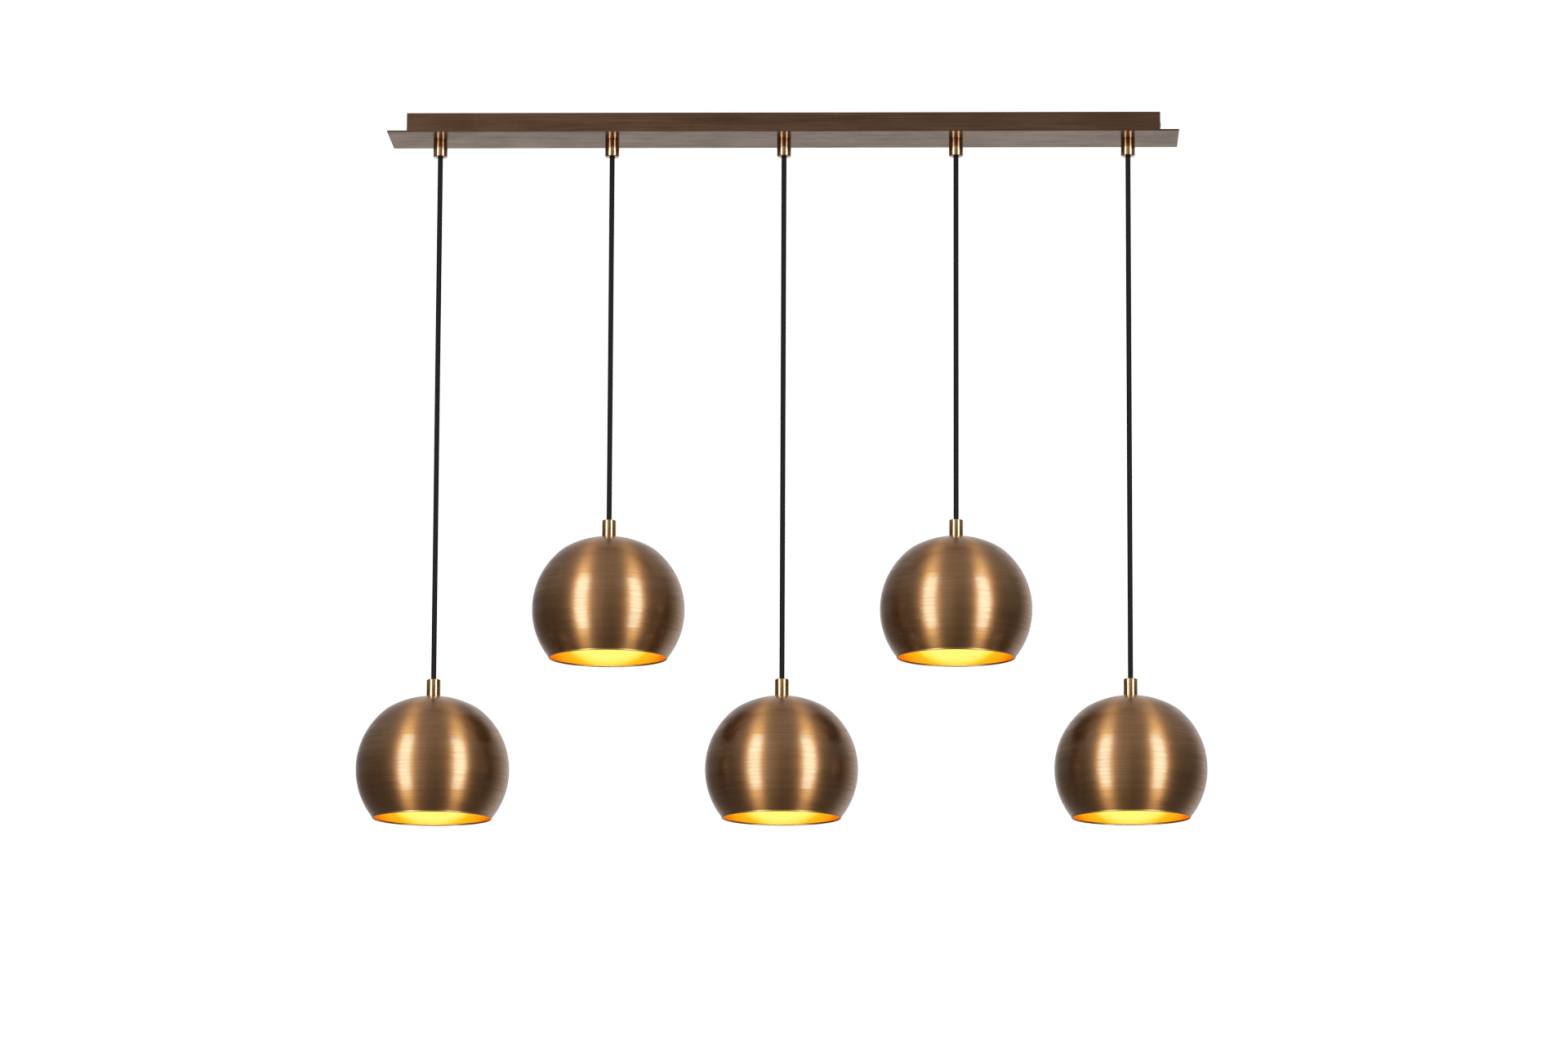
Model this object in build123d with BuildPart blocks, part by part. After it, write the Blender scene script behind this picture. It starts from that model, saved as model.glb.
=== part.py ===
from build123d import *

import os
from math import asin, atan2, cos, degrees, sin, sqrt

# A linear pendant light: five spun ball shades hang on cords from one long ceiling bar.
# Millimetres. Origin: the middle of the face that meets the ceiling. +Z up, +X along the bar.

# Clearances and cuts
fit_gap = 0.1  # radial, between a tube, a screw or a nut and what it goes through
cord_gap = 0.2  # radial, between the cord and a bore that it runs through
seat_gap = 0.3  # between pieces that face each other without clamping
overrun = 5  # how far a cut runs past the face that it opens

# Layout of the pendants
pendant_count = 5
pendant_pitch = 205
lower_drop = 758  # from the plate's underside to a low ball's centre
row_step = 190  # how much higher every second ball hangs

# Bar plate
plate_width = 85
plate_thickness = 2
plate_corner_radius = 0.8
plate_edge_chamfer = 0.3
end_inset = 60  # from the outer pendants to the plate's ends

# Canopy channel
channel_height = 24
channel_sheet = 1.2
channel_corner_radius = 1.8
end_overhang = 22  # of the plate past the channel's ends
side_overhang = 12  # of the plate past the channel's sides

# Mounting bracket
bracket_thickness = 1.5
bracket_width = 26
bracket_bend_radius = 1.5  # inside the bend
tab_height = 14
slot_width = 5
slot_length = 14
outer_slot_spacing = 740
inner_slot_spacing = 320
mains_hole_diameter = 14

# End screws
screw_diameter = 4
screw_head_diameter = 8
screw_head_height = 2.6
screw_head_dome = 1.8
screw_depth = 9  # below the ceiling face
screw_run = 5  # past the bracket's tab

# Cord grips, nipples, nuts and washers
cord_diameter = 6.3
grip_diameter = 17
grip_height = 21
grip_floor = 5
grip_chamfer = 0.8
nipple_diameter = 10
nipple_bore = 7.2
nipple_engagement = 10  # in the grip
nipple_proud = 2  # past its lock nut
nut_flats = 14
nut_height = 3
washer_diameter = 18
washer_thickness = 1
washer_notch_count = 8
washer_notch_radius = 1.1
collet_slit = 1.2

# The cord's swing
pivot_drop = 1.5  # of the cord's bend below the grip's mouth

# Collar on the crown
collar_diameter = 16.5
collar_height = 20.5
collar_chamfer = 0.9
collar_thread_depth = 12

# Spun ball shade
ball_radius = 90
shade_wall = 0.8
crown_flattening = 15  # how much larger the crown arc's radius is than the ball's
crown_drop = 2.9  # of the crown arc's top below the full ball's
crown_flat_radius = 9
shoulder_radius = 40  # where the crown arc blends into the ball
rim_depth = 57  # of the rim below the ball's centre
rim_bead_radius = 1.2

# Lampholder
holder_diameter = 28
holder_cap_height = 20
holder_boss_diameter = 17
holder_boss_height = 3
holder_wall = 2
holder_body_height = 38
holder_spigot_height = 4
holder_step_height = 9
holder_step_inset = 1.5
socket_bore_diameter = 15
shade_nipple_tail = 10  # in the lampholder's cap

# Bulb
bulb_radius = 22.5
bulb_length = 54  # of the glass
bulb_glass_wall = 0.8
bulb_waist_height = 13  # above the ball's middle, where its arc ends and the neck begins
bulb_cap_diameter = 13.6
bulb_cap_length = 22
bulb_cap_flare = 1.6
bulb_cap_shown = 2  # below the lampholder's mouth
bulb_contact_diameter = 6
bulb_contact_height = 3

# Wiring box with its lid and terminal block
box_length = 80
box_width = 38
box_height = 13
box_wall = 1.5
box_corner_radius = 3
lid_lip_depth = 2.5
lid_inlet_diameter = 9
block_pole_pitch = 12.5
block_pole_width = 8
block_pole_length = 20
block_height = 8.5
block_web_height = 5
block_web_length = 12
block_hole_height = 3.4
block_setback = 14  # of the block from the box's middle
block_screw_diameter = 5
block_screw_height = 1.2
block_screw_offset = 6  # from the block's middle
block_screw_slit = 1

# Inner flexes, from the nipples to the terminal block
flex_diameter = 4
flex_exit_radius = 8
flex_turn_radius = 24
flex_rise_run = 25
flex_fall_run = 28
flex_climb_run = 24  # from the channel's floor up to the terminal block's holes
flex_entry = 4  # into the terminal block
flex_start_depth = 2  # below the nipple's top
flex_swing_share = 0.45  # of the way out to its lane, where a flex starts to fall
flex_lanes = (1, -1, 0, -1, 1)  # the side of the bar on which each pendant's flex runs

# Heights and places worked out from the sizes above
plate_length = (pendant_count - 1) * pendant_pitch + 2 * end_inset
channel_length = plate_length - 2 * end_overhang
channel_width = plate_width - 2 * side_overhang
channel_floor = channel_sheet - channel_height
plate_underside = -channel_height - plate_thickness
nut_top = channel_floor + washer_thickness + nut_height
nipple_top = nut_top + nipple_proud
nipple_bottom = plate_underside - nipple_engagement
grip_bottom = plate_underside - grip_height
pivot_height = grip_bottom - pivot_drop
cord_radius = cord_diameter / 2
cord_bore_radius = cord_radius + cord_gap
nipple_hole_radius = nipple_diameter / 2 + fit_gap
screw_hole_radius = screw_diameter / 2 + fit_gap
bracket_length = channel_length - 2 * (channel_sheet + seat_gap)
box_middle = pendant_pitch / 2
box_floor = channel_floor + box_wall
box_top = channel_floor + box_height
inlet_place = box_middle + box_length / 2 - block_setback - box_wall
block_middle = box_middle - block_setback
pendant_places = [(i - (pendant_count - 1) / 2) * pendant_pitch for i in range(pendant_count)]
pendant_points = [(x, 0) for x in pendant_places]

os.makedirs("parts", exist_ok=True)


# Bar plate
with BuildPart() as bar_plate:
    with BuildSketch(Plane.XY.offset(plate_underside)):
        RectangleRounded(plate_length, plate_width, plate_corner_radius)
    extrude(amount=plate_thickness)
    chamfer(bar_plate.faces().sort_by(Axis.Z)[0].edges(), plate_edge_chamfer)
    with BuildSketch(Plane.XY.offset(plate_underside)):
        with Locations(*pendant_points):
            Circle(nipple_hole_radius)
    extrude(amount=plate_thickness, mode=Mode.SUBTRACT)
bar_plate.part.label = "bar_plate"
export_step(bar_plate.part, "parts/bar_plate.step")

# Canopy channel: folded sheet, open towards the ceiling
with BuildPart() as canopy_channel:
    with BuildSketch(Plane.XY):
        RectangleRounded(channel_length, channel_width, channel_corner_radius)
    extrude(amount=-channel_height)
    offset(amount=-channel_sheet, openings=canopy_channel.faces().sort_by(Axis.Z)[-1])
    with BuildSketch(Plane.XY.offset(-channel_height)):
        with Locations(*pendant_points):
            Circle(nipple_hole_radius)
    extrude(amount=channel_sheet, mode=Mode.SUBTRACT)
    with BuildSketch(Plane.YZ):
        with Locations((0, -screw_depth)):
            Circle(screw_hole_radius)
    extrude(amount=channel_length / 2 + overrun, both=True, mode=Mode.SUBTRACT)
canopy_channel.part.label = "canopy_channel"
export_step(canopy_channel.part, "parts/canopy_channel.step")

# Mounting bracket: a strap with slots, both ends bent down into tabs
with BuildPart() as mounting_bracket:
    with BuildSketch(Plane.XZ) as strap:
        with Locations((0, -tab_height / 2)):
            Rectangle(bracket_length, tab_height)
        with Locations((0, -bracket_thickness - tab_height / 2)):
            Rectangle(bracket_length - 2 * bracket_thickness, tab_height, mode=Mode.SUBTRACT)
        fillet(strap.vertices().group_by(Axis.Y)[-1], bracket_bend_radius + bracket_thickness)
        inner_corners = strap.vertices().filter_by_position(
            Axis.Y, -bracket_thickness, -bracket_thickness
        )
        fillet(inner_corners, bracket_bend_radius)
    extrude(amount=bracket_width / 2, both=True)
    with BuildSketch(Plane.XY):
        with GridLocations(outer_slot_spacing, 0, 2, 1):
            SlotOverall(slot_length, slot_width)
        with GridLocations(inner_slot_spacing, 0, 2, 1):
            SlotOverall(slot_length, slot_width)
        with Locations((inlet_place, 0)):
            Circle(mains_hole_diameter / 2)
    extrude(amount=-bracket_thickness, mode=Mode.SUBTRACT)
    with BuildSketch(Plane.YZ):
        with Locations((0, -screw_depth)):
            Circle(screw_hole_radius)
    extrude(amount=bracket_length / 2 + overrun, both=True, mode=Mode.SUBTRACT)
mounting_bracket.part.label = "mounting_bracket"
export_step(mounting_bracket.part, "parts/mounting_bracket.step")

# End screws: through the channel's ends into the bracket's tabs
with BuildPart() as end_screws:
    for side in (-1, 1):
        channel_end = Plane(origin=(side * channel_length / 2, 0, -screw_depth), z_dir=(side, 0, 0))
        with BuildSketch(channel_end):
            Circle(screw_head_diameter / 2)
        extrude(amount=screw_head_height)
        fillet(end_screws.edges().sort_by(Axis.X)[-1 if side > 0 else 0], screw_head_dome)
        with BuildSketch(channel_end):
            Circle(screw_diameter / 2)
        extrude(amount=-(channel_sheet + seat_gap + bracket_thickness + screw_run))
end_screws.part.label = "end_screws"
export_step(end_screws.part, "parts/end_screws.step")

# Bar nipples: hollow threaded tubes through the plate and the channel
with BuildPart() as bar_nipples:
    with BuildSketch(Plane.XY.offset(nipple_bottom)):
        with Locations(*pendant_points):
            Circle(nipple_diameter / 2)
            Circle(nipple_bore / 2, mode=Mode.SUBTRACT)
    extrude(amount=nipple_top - nipple_bottom)
bar_nipples.part.label = "bar_nipples"
export_step(bar_nipples.part, "parts/bar_nipples.step")

# Lock washers: notched rings under the nuts
with BuildPart() as lock_washers:
    with BuildSketch(Plane.XY.offset(channel_floor)):
        with Locations(*pendant_points):
            Circle(washer_diameter / 2)
            Circle(nipple_hole_radius, mode=Mode.SUBTRACT)
            with PolarLocations(washer_diameter / 2, washer_notch_count):
                Circle(washer_notch_radius, mode=Mode.SUBTRACT)
    extrude(amount=washer_thickness)
lock_washers.part.label = "lock_washers"
export_step(lock_washers.part, "parts/lock_washers.step")

# Lock nuts
with BuildPart() as lock_nuts:
    with BuildSketch(Plane.XY.offset(channel_floor + washer_thickness)):
        with Locations(*pendant_points):
            RegularPolygon(nut_flats / 2, 6, major_radius=False)
            Circle(nipple_hole_radius, mode=Mode.SUBTRACT)
    extrude(amount=nut_height)
lock_nuts.part.label = "lock_nuts"
export_step(lock_nuts.part, "parts/lock_nuts.step")

# Cord grips: turned cylinders, threaded for the nipple above and bored for the cord below
with BuildPart() as cord_grips:
    with BuildSketch(Plane.XY.offset(plate_underside)):
        with Locations(*pendant_points):
            Circle(grip_diameter / 2)
    extrude(amount=-grip_height)
    chamfer(cord_grips.edges().group_by(Axis.Z)[0], grip_chamfer)
    with BuildSketch(Plane.XY.offset(plate_underside)):
        with Locations(*pendant_points):
            Circle(nipple_hole_radius)
    extrude(amount=grip_floor - grip_height, mode=Mode.SUBTRACT)
    with BuildSketch(Plane.XY.offset(plate_underside)):
        with Locations(*pendant_points):
            Circle(cord_bore_radius)
    extrude(amount=-grip_height, mode=Mode.SUBTRACT)
cord_grips.part.label = "cord_grips"
export_step(cord_grips.part, "parts/cord_grips.step")

# Grip collets: slit rings that the nipple presses on the grip's floor, round the cord
with BuildPart() as grip_collets:
    with BuildSketch(Plane.XY.offset(grip_bottom + grip_floor)):
        with Locations(*pendant_points):
            Circle(nipple_diameter / 2)
            Circle(cord_radius + fit_gap, mode=Mode.SUBTRACT)
            with Locations((nipple_diameter / 2, 0)):
                Rectangle(nipple_diameter, collet_slit, mode=Mode.SUBTRACT)
    extrude(amount=grip_height - grip_floor - nipple_engagement)
grip_collets.part.label = "grip_collets"
export_step(grip_collets.part, "parts/grip_collets.step")

# Held cords: the cord's jacket inside grip and nipple
held_cord_bottom = pivot_height + cord_radius + seat_gap
held_cord_top = nipple_top - flex_start_depth
with BuildPart() as held_cords:
    with BuildSketch(Plane.XY.offset(held_cord_bottom)):
        with Locations(*pendant_points):
            Circle(cord_radius)
    extrude(amount=held_cord_top - held_cord_bottom)
held_cords.part.label = "held_cords"
export_step(held_cords.part, "parts/held_cords.step")

# Wiring box: a tray on the channel's floor, with a mouth for each flex
flex_hole_radius = flex_diameter / 2 + fit_gap
block_hole_level = box_floor + block_hole_height
with BuildPart() as wiring_box:
    with BuildSketch(Plane.XY.offset(channel_floor)):
        with Locations((box_middle, 0)):
            RectangleRounded(box_length, box_width, box_corner_radius)
    extrude(amount=box_height)
    offset(amount=-box_wall, openings=wiring_box.faces().sort_by(Axis.Z)[-1])
    for number, lane in enumerate(flex_lanes):
        side = -1 if pendant_places[number] < box_middle else 1
        wall = Plane(
            origin=(box_middle + side * (box_length / 2 - box_wall), 0, block_hole_level),
            z_dir=(side, 0, 0),
            x_dir=(0, 1, 0),
        )
        with BuildSketch(wall):
            with Locations((lane * block_pole_pitch, 0)):
                Circle(flex_hole_radius)
        extrude(amount=box_wall, mode=Mode.SUBTRACT)
wiring_box.part.label = "wiring_box"
export_step(wiring_box.part, "parts/wiring_box.step")

# Box lid: snaps in by its lip, with an inlet for the supply under the bracket's hole
with BuildPart() as box_lid:
    with BuildSketch(Plane.XY.offset(box_top)):
        with Locations((box_middle, 0)):
            RectangleRounded(box_length, box_width, box_corner_radius)
    extrude(amount=box_wall)
    with BuildSketch(Plane.XY.offset(box_top)):
        lip_inset = box_wall + fit_gap
        with Locations((box_middle, 0)):
            RectangleRounded(
                box_length - 2 * lip_inset, box_width - 2 * lip_inset, box_corner_radius - box_wall
            )
            Rectangle(
                box_length - 2 * (lip_inset + box_wall),
                box_width - 2 * (lip_inset + box_wall),
                mode=Mode.SUBTRACT,
            )
    extrude(amount=-lid_lip_depth)
    with BuildSketch(Plane.XY.offset(box_top)):
        with Locations((inlet_place, 0)):
            Circle(lid_inlet_diameter / 2)
    extrude(amount=box_wall, mode=Mode.SUBTRACT)
box_lid.part.label = "box_lid"
export_step(box_lid.part, "parts/box_lid.step")

# Terminal block: three poles joined by a low web, each with a hole along the bar
pole_points = [(block_middle, lane * block_pole_pitch) for lane in (-1, 0, 1)]
with BuildPart() as terminal_block:
    with BuildSketch(Plane.XY.offset(box_floor)):
        with Locations((block_middle, 0)):
            Rectangle(block_web_length, 2 * block_pole_pitch)
    extrude(amount=block_web_height)
    with BuildSketch(Plane.XY.offset(box_floor)):
        with Locations(*pole_points):
            Rectangle(block_pole_length, block_pole_width)
    extrude(amount=block_height)
    with BuildSketch(Plane.YZ.offset(block_middle)):
        for lane in (-1, 0, 1):
            with Locations((lane * block_pole_pitch, block_hole_level)):
                Circle(flex_hole_radius)
    extrude(amount=block_pole_length, both=True, mode=Mode.SUBTRACT)
terminal_block.part.label = "terminal_block"
export_step(terminal_block.part, "parts/terminal_block.step")

# Terminal screws: two slotted heads on each pole
with BuildPart() as terminal_screws:
    with BuildSketch(Plane.XY.offset(box_floor + block_height)):
        with Locations(*pole_points):
            with GridLocations(2 * block_screw_offset, 0, 2, 1):
                Circle(block_screw_diameter / 2)
    extrude(amount=block_screw_height)
    with BuildSketch(Plane.XY.offset(box_floor + block_height + block_screw_height)):
        with Locations(*pole_points):
            with GridLocations(2 * block_screw_offset, 0, 2, 1):
                Rectangle(block_screw_slit, block_screw_diameter)
    extrude(amount=-block_screw_height / 2, mode=Mode.SUBTRACT)
terminal_screws.part.label = "terminal_screws"
export_step(terminal_screws.part, "parts/terminal_screws.step")


def flex_route(number):
    """One inner flex's points and bend radii, from its nipple's mouth into the terminal block."""
    start = pendant_places[number]
    way = 1 if start < box_middle else -1
    lane = flex_lanes[number] * block_pole_pitch
    crest = -bracket_thickness - seat_gap - flex_diameter / 2
    floor = channel_floor + seat_gap + flex_diameter / 2
    mouth = box_middle - way * box_length / 2
    fallen = start + way * (flex_rise_run + flex_fall_run)
    end = block_middle - way * (block_pole_length / 2 - flex_entry)
    route = [
        (start, 0, held_cord_top),
        (start, 0, crest),
        (start + way * flex_rise_run, flex_swing_share * lane, crest),
    ]
    if abs(mouth - fallen) > flex_climb_run:
        route += [
            (fallen, lane, floor),
            (mouth - way * flex_climb_run, lane, floor),
            (mouth, lane, block_hole_level),
        ]
    else:
        route += [(fallen, lane, block_hole_level)]
    radii = [flex_exit_radius] + [flex_turn_radius] * (len(route) - 2)
    return route + [(end, lane, block_hole_level)], radii


# Inner flexes: the cords' inner cable, bent over out of the nipples and laid along the channel
with BuildPart() as inner_flexes:
    for number in range(pendant_count):
        route, radii = flex_route(number)
        with BuildLine() as path:
            FilletPolyline(*route, radius=radii)
        with BuildSketch(Plane(origin=route[0], z_dir=(0, 0, 1))):
            Circle(flex_diameter / 2)
        sweep(path=path.line)
        print("inner flex", number + 1, "length", round(path.wire().length, 1), "radii", radii)
inner_flexes.part.label = "inner_flexes"
export_step(inner_flexes.part, "parts/inner_flexes.step")


def upright(x, z):
    """The plane that faces the viewer, its origin at x along the bar and at height z."""
    return Plane(origin=(x, 0, z), x_dir=(1, 0, 0), z_dir=(0, -1, 0))


def circle_height(radius, x):
    """How high a circle of this radius stands above its centre at x."""
    return sqrt(radius**2 - x**2)


crown_radius = ball_radius + crown_flattening
crown_height = ball_radius - crown_drop
crown_centre = crown_height - crown_radius
crown_seat = crown_centre + circle_height(crown_radius, crown_flat_radius)


def ball_outline(inset):
    """Draws half the ball's outline, this far inside its outer face, closed along the axis."""
    ball = ball_radius - inset
    crown = crown_radius - inset
    top = crown_seat - inset
    flat_end = sqrt(crown**2 - (top - crown_centre) ** 2)
    shoulder_height = (ball**2 - crown**2 + crown_centre**2) / (2 * crown_centre)
    shoulder = (sqrt(ball**2 - shoulder_height**2), shoulder_height)
    rim_end = circle_height(ball, rim_depth)
    flat_angle = degrees(atan2(top - crown_centre, flat_end))
    crown_angle = degrees(atan2(shoulder_height - crown_centre, shoulder[0]))
    ball_angle = degrees(atan2(shoulder_height, shoulder[0]))
    rim_angle = degrees(atan2(-rim_depth, rim_end))
    Line((0, top), (flat_end, top))
    CenterArc((0, crown_centre), crown, flat_angle, crown_angle - flat_angle)
    CenterArc((0, 0), ball, ball_angle, rim_angle - ball_angle)
    Polyline((rim_end, -rim_depth), (0, -rim_depth), (0, top))
    return shoulder


def shoulder_corner(sketch, shoulder):
    """The sketch's vertex nearest to the place where the crown arc meets the ball."""
    return sketch.vertices().sort_by_distance((*shoulder, 0))[0]


def bulb_outline(inset):
    """Draws half the bulb's outline below its neck, this far inside the glass, closed on the axis."""
    ball = bulb_radius - inset
    ball_middle = bulb_radius - bulb_length
    waist_angle = asin(bulb_waist_height / bulb_radius)
    waist = (ball * cos(waist_angle), ball_middle + ball * sin(waist_angle))
    neck = (bulb_cap_diameter / 2 + bulb_cap_flare - inset, 0)
    CenterArc((0, ball_middle), ball, -90, 90 + degrees(waist_angle))
    TangentArc(waist, neck, tangent=(-sin(waist_angle), cos(waist_angle)))
    Polyline(neck, (0, 0), (0, ball_middle - ball))


for number, x in enumerate(pendant_places, start=1):
    # Heights of this pendant
    drop = lower_drop - row_step * (1 - number % 2)
    middle = plate_underside - drop
    crown_top = middle + crown_seat
    crown_under = crown_top - shade_wall
    collar_top = crown_top + collar_height
    nipple_end = crown_under - shade_nipple_tail
    cap_bottom = crown_under - holder_cap_height
    mouth = cap_bottom - holder_body_height
    glass_top = mouth - bulb_cap_shown
    axis = Axis((x, 0, 0), (0, 0, 1))

    # The cord's bend, a ball round the point about which the pendant swings
    with BuildPart() as cord_bend:
        with Locations((x, 0, pivot_height)):
            Sphere(cord_radius)
    cord_bend.part.label = f"cord_bend_{number}"
    export_step(cord_bend.part, f"parts/cord_bend_{number}.step")

    # The cord, cupped round its bend, through the collar down into the lampholder
    with BuildPart() as cord:
        with BuildSketch(Plane(origin=(x, 0, nipple_end))):
            Circle(cord_radius)
        extrude(amount=pivot_height - nipple_end)
        with Locations((x, 0, pivot_height)):
            Sphere(cord_radius + seat_gap, mode=Mode.SUBTRACT)
    cord.part.label = f"cord_{number}"
    export_step(cord.part, f"parts/cord_{number}.step")

    # Collar: a turned cylinder that clamps the crown from above
    with BuildPart() as collar:
        with BuildSketch(Plane(origin=(x, 0, crown_top))):
            Circle(collar_diameter / 2)
        extrude(amount=collar_height)
        chamfer(collar.edges().group_by(Axis.Z)[-1], collar_chamfer)
        with BuildSketch(Plane(origin=(x, 0, crown_top))):
            Circle(cord_bore_radius)
        extrude(amount=collar_height, mode=Mode.SUBTRACT)
        with BuildSketch(Plane(origin=(x, 0, crown_top))):
            Circle(nipple_hole_radius)
        extrude(amount=collar_thread_depth, mode=Mode.SUBTRACT)
    collar.part.label = f"collar_{number}"
    export_step(collar.part, f"parts/collar_{number}.step")

    # Shade nipple: the threaded tube that joins collar and lampholder through the crown
    with BuildPart() as shade_nipple:
        with BuildSketch(Plane(origin=(x, 0, nipple_end))):
            Circle(nipple_diameter / 2)
            Circle(nipple_bore / 2, mode=Mode.SUBTRACT)
        extrude(amount=crown_top + collar_thread_depth - nipple_end)
    shade_nipple.part.label = f"shade_nipple_{number}"
    export_step(shade_nipple.part, f"parts/shade_nipple_{number}.step")

    # Shade: a ball spun from one sheet, its crown flatter, its rim rolled into a bead
    with BuildPart() as shade:
        with BuildSketch(upright(x, middle)) as wall:
            with BuildLine():
                outer_shoulder = ball_outline(0)
            make_face()
            fillet(shoulder_corner(wall, outer_shoulder), shoulder_radius)
            with BuildSketch(mode=Mode.SUBTRACT) as hollow:
                with BuildLine():
                    inner_shoulder = ball_outline(shade_wall)
                make_face()
                fillet(shoulder_corner(hollow, inner_shoulder), shoulder_radius - shade_wall)
            bead_place = circle_height(ball_radius - shade_wall / 2, rim_depth)
            with Locations((bead_place, -rim_depth)):
                Circle(rim_bead_radius)
        revolve(axis=axis)
        with BuildSketch(Plane(origin=(x, 0, crown_top))):
            Circle(nipple_hole_radius)
        extrude(amount=-shade_wall, mode=Mode.SUBTRACT)
    shade.part.label = f"shade_{number}"
    export_step(shade.part, f"parts/shade_{number}.step")

    # Lampholder cap: a domed shell screwed on the nipple, clamping the crown from below
    holder_radius = holder_diameter / 2
    with BuildPart() as holder_cap:
        with BuildSketch(upright(x, 0)):
            with BuildLine():
                boss_radius = holder_boss_diameter / 2
                boss_foot = crown_under - holder_boss_height
                boss_corner = (boss_radius, boss_foot)
                skirt_corner = (holder_radius, boss_foot - (holder_radius - boss_radius))
                inner_radius = holder_radius - holder_wall
                Polyline(
                    (nipple_hole_radius, crown_under),
                    (boss_radius, crown_under),
                    boss_corner,
                )
                TangentArc(boss_corner, skirt_corner, tangent=(1, 0))
                Polyline(
                    skirt_corner,
                    (holder_radius, cap_bottom),
                    (inner_radius, cap_bottom),
                    (inner_radius, nipple_end),
                    (nipple_hole_radius, nipple_end),
                    (nipple_hole_radius, crown_under),
                )
            make_face()
        revolve(axis=axis)
    holder_cap.part.label = f"holder_cap_{number}"
    export_step(holder_cap.part, f"parts/holder_cap_{number}.step")

    # Lampholder body: a spigot up into the cap, a narrower mouth and the bulb's socket
    socket_ceiling = glass_top + bulb_cap_length + bulb_contact_height + seat_gap
    with BuildPart() as lampholder:
        with BuildSketch(Plane(origin=(x, 0, mouth))):
            Circle(holder_radius - holder_step_inset)
        extrude(amount=holder_body_height + holder_spigot_height)
        with BuildSketch(Plane(origin=(x, 0, mouth + holder_step_height))):
            Circle(holder_radius)
        extrude(amount=holder_body_height - holder_step_height)
        with BuildSketch(Plane(origin=(x, 0, cap_bottom))):
            Circle(holder_radius)
            Circle(inner_radius - fit_gap, mode=Mode.SUBTRACT)
        extrude(amount=holder_spigot_height, mode=Mode.SUBTRACT)
        with BuildSketch(Plane(origin=(x, 0, mouth))):
            Circle(socket_bore_diameter / 2)
        extrude(amount=socket_ceiling - mouth, mode=Mode.SUBTRACT)
    lampholder.part.label = f"lampholder_{number}"
    export_step(lampholder.part, f"parts/lampholder_{number}.step")

    # Bulb cap: the metal screw shell with its flare below and its contact above
    with BuildPart() as bulb_cap:
        with BuildSketch(Plane(origin=(x, 0, glass_top))):
            Circle(bulb_cap_diameter / 2 + bulb_cap_flare)
        extrude(amount=bulb_cap_flare)
        with BuildSketch(Plane(origin=(x, 0, glass_top))):
            Circle(bulb_cap_diameter / 2)
        extrude(amount=bulb_cap_length)
        with BuildSketch(Plane(origin=(x, 0, glass_top + bulb_cap_length))):
            Circle(bulb_contact_diameter / 2)
        extrude(amount=bulb_contact_height)
    bulb_cap.part.label = f"bulb_cap_{number}"
    export_step(bulb_cap.part, f"parts/bulb_cap_{number}.step")

    # Bulb: a thin glass ball drawn in to its neck
    with BuildPart() as bulb:
        with BuildSketch(upright(x, glass_top)):
            with BuildLine():
                bulb_outline(0)
            make_face()
            with BuildSketch(mode=Mode.SUBTRACT):
                with BuildLine():
                    bulb_outline(bulb_glass_wall)
                make_face()
        revolve(axis=axis)
    bulb.part.label = f"bulb_{number}"
    export_step(bulb.part, f"parts/bulb_{number}.step")
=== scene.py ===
import logging
import math
from collections.abc import Callable
from dataclasses import dataclass, field, fields, replace
from enum import Enum
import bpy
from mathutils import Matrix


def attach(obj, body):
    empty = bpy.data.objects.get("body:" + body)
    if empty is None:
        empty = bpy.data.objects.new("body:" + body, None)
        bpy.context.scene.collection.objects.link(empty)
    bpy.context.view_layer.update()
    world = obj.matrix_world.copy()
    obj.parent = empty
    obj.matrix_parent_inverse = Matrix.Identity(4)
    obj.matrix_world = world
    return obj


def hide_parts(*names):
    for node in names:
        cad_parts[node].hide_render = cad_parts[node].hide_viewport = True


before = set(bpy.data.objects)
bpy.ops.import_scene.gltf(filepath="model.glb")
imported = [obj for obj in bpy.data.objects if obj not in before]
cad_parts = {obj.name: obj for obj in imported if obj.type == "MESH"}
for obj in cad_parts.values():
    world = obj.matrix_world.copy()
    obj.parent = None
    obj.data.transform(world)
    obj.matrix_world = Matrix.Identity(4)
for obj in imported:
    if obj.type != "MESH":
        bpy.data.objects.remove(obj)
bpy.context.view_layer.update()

from types import SimpleNamespace

import bmesh
import bpy
from mathutils import Euler, Matrix, Vector

# A bar pendant: five spun brass balls on textile cords under a brushed bronze bar, dressed and lit.
# Metres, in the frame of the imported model. Origin: the middle of the face on the ceiling. +Z is up.

MM = 0.001
CLEARANCE = 0.1 * MM  # between pieces that slide into each other
THREAD_BORE = 5.1 * MM  # round a nipple
CORD_BORE = 3.35 * MM  # round a cord
SHARP_ANGLE = math.radians(34)  # from which an edge isn't smoothed
log = logging.getLogger("pendant")

Colour = tuple[float, float, float]
Point = tuple[float, float, float]
Profile = list[tuple[float, float]]
Ramp = tuple[float, float, float, float]  # from where to where a value runs, and what it then becomes
BLACK: Colour = (0.0, 0.0, 0.0)


class Brushing(Enum):
    """Which way the fine lines of a metal finish run."""

    ALONG_BAR = "along the bar"
    AROUND_CORD = "around the cord"


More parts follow.
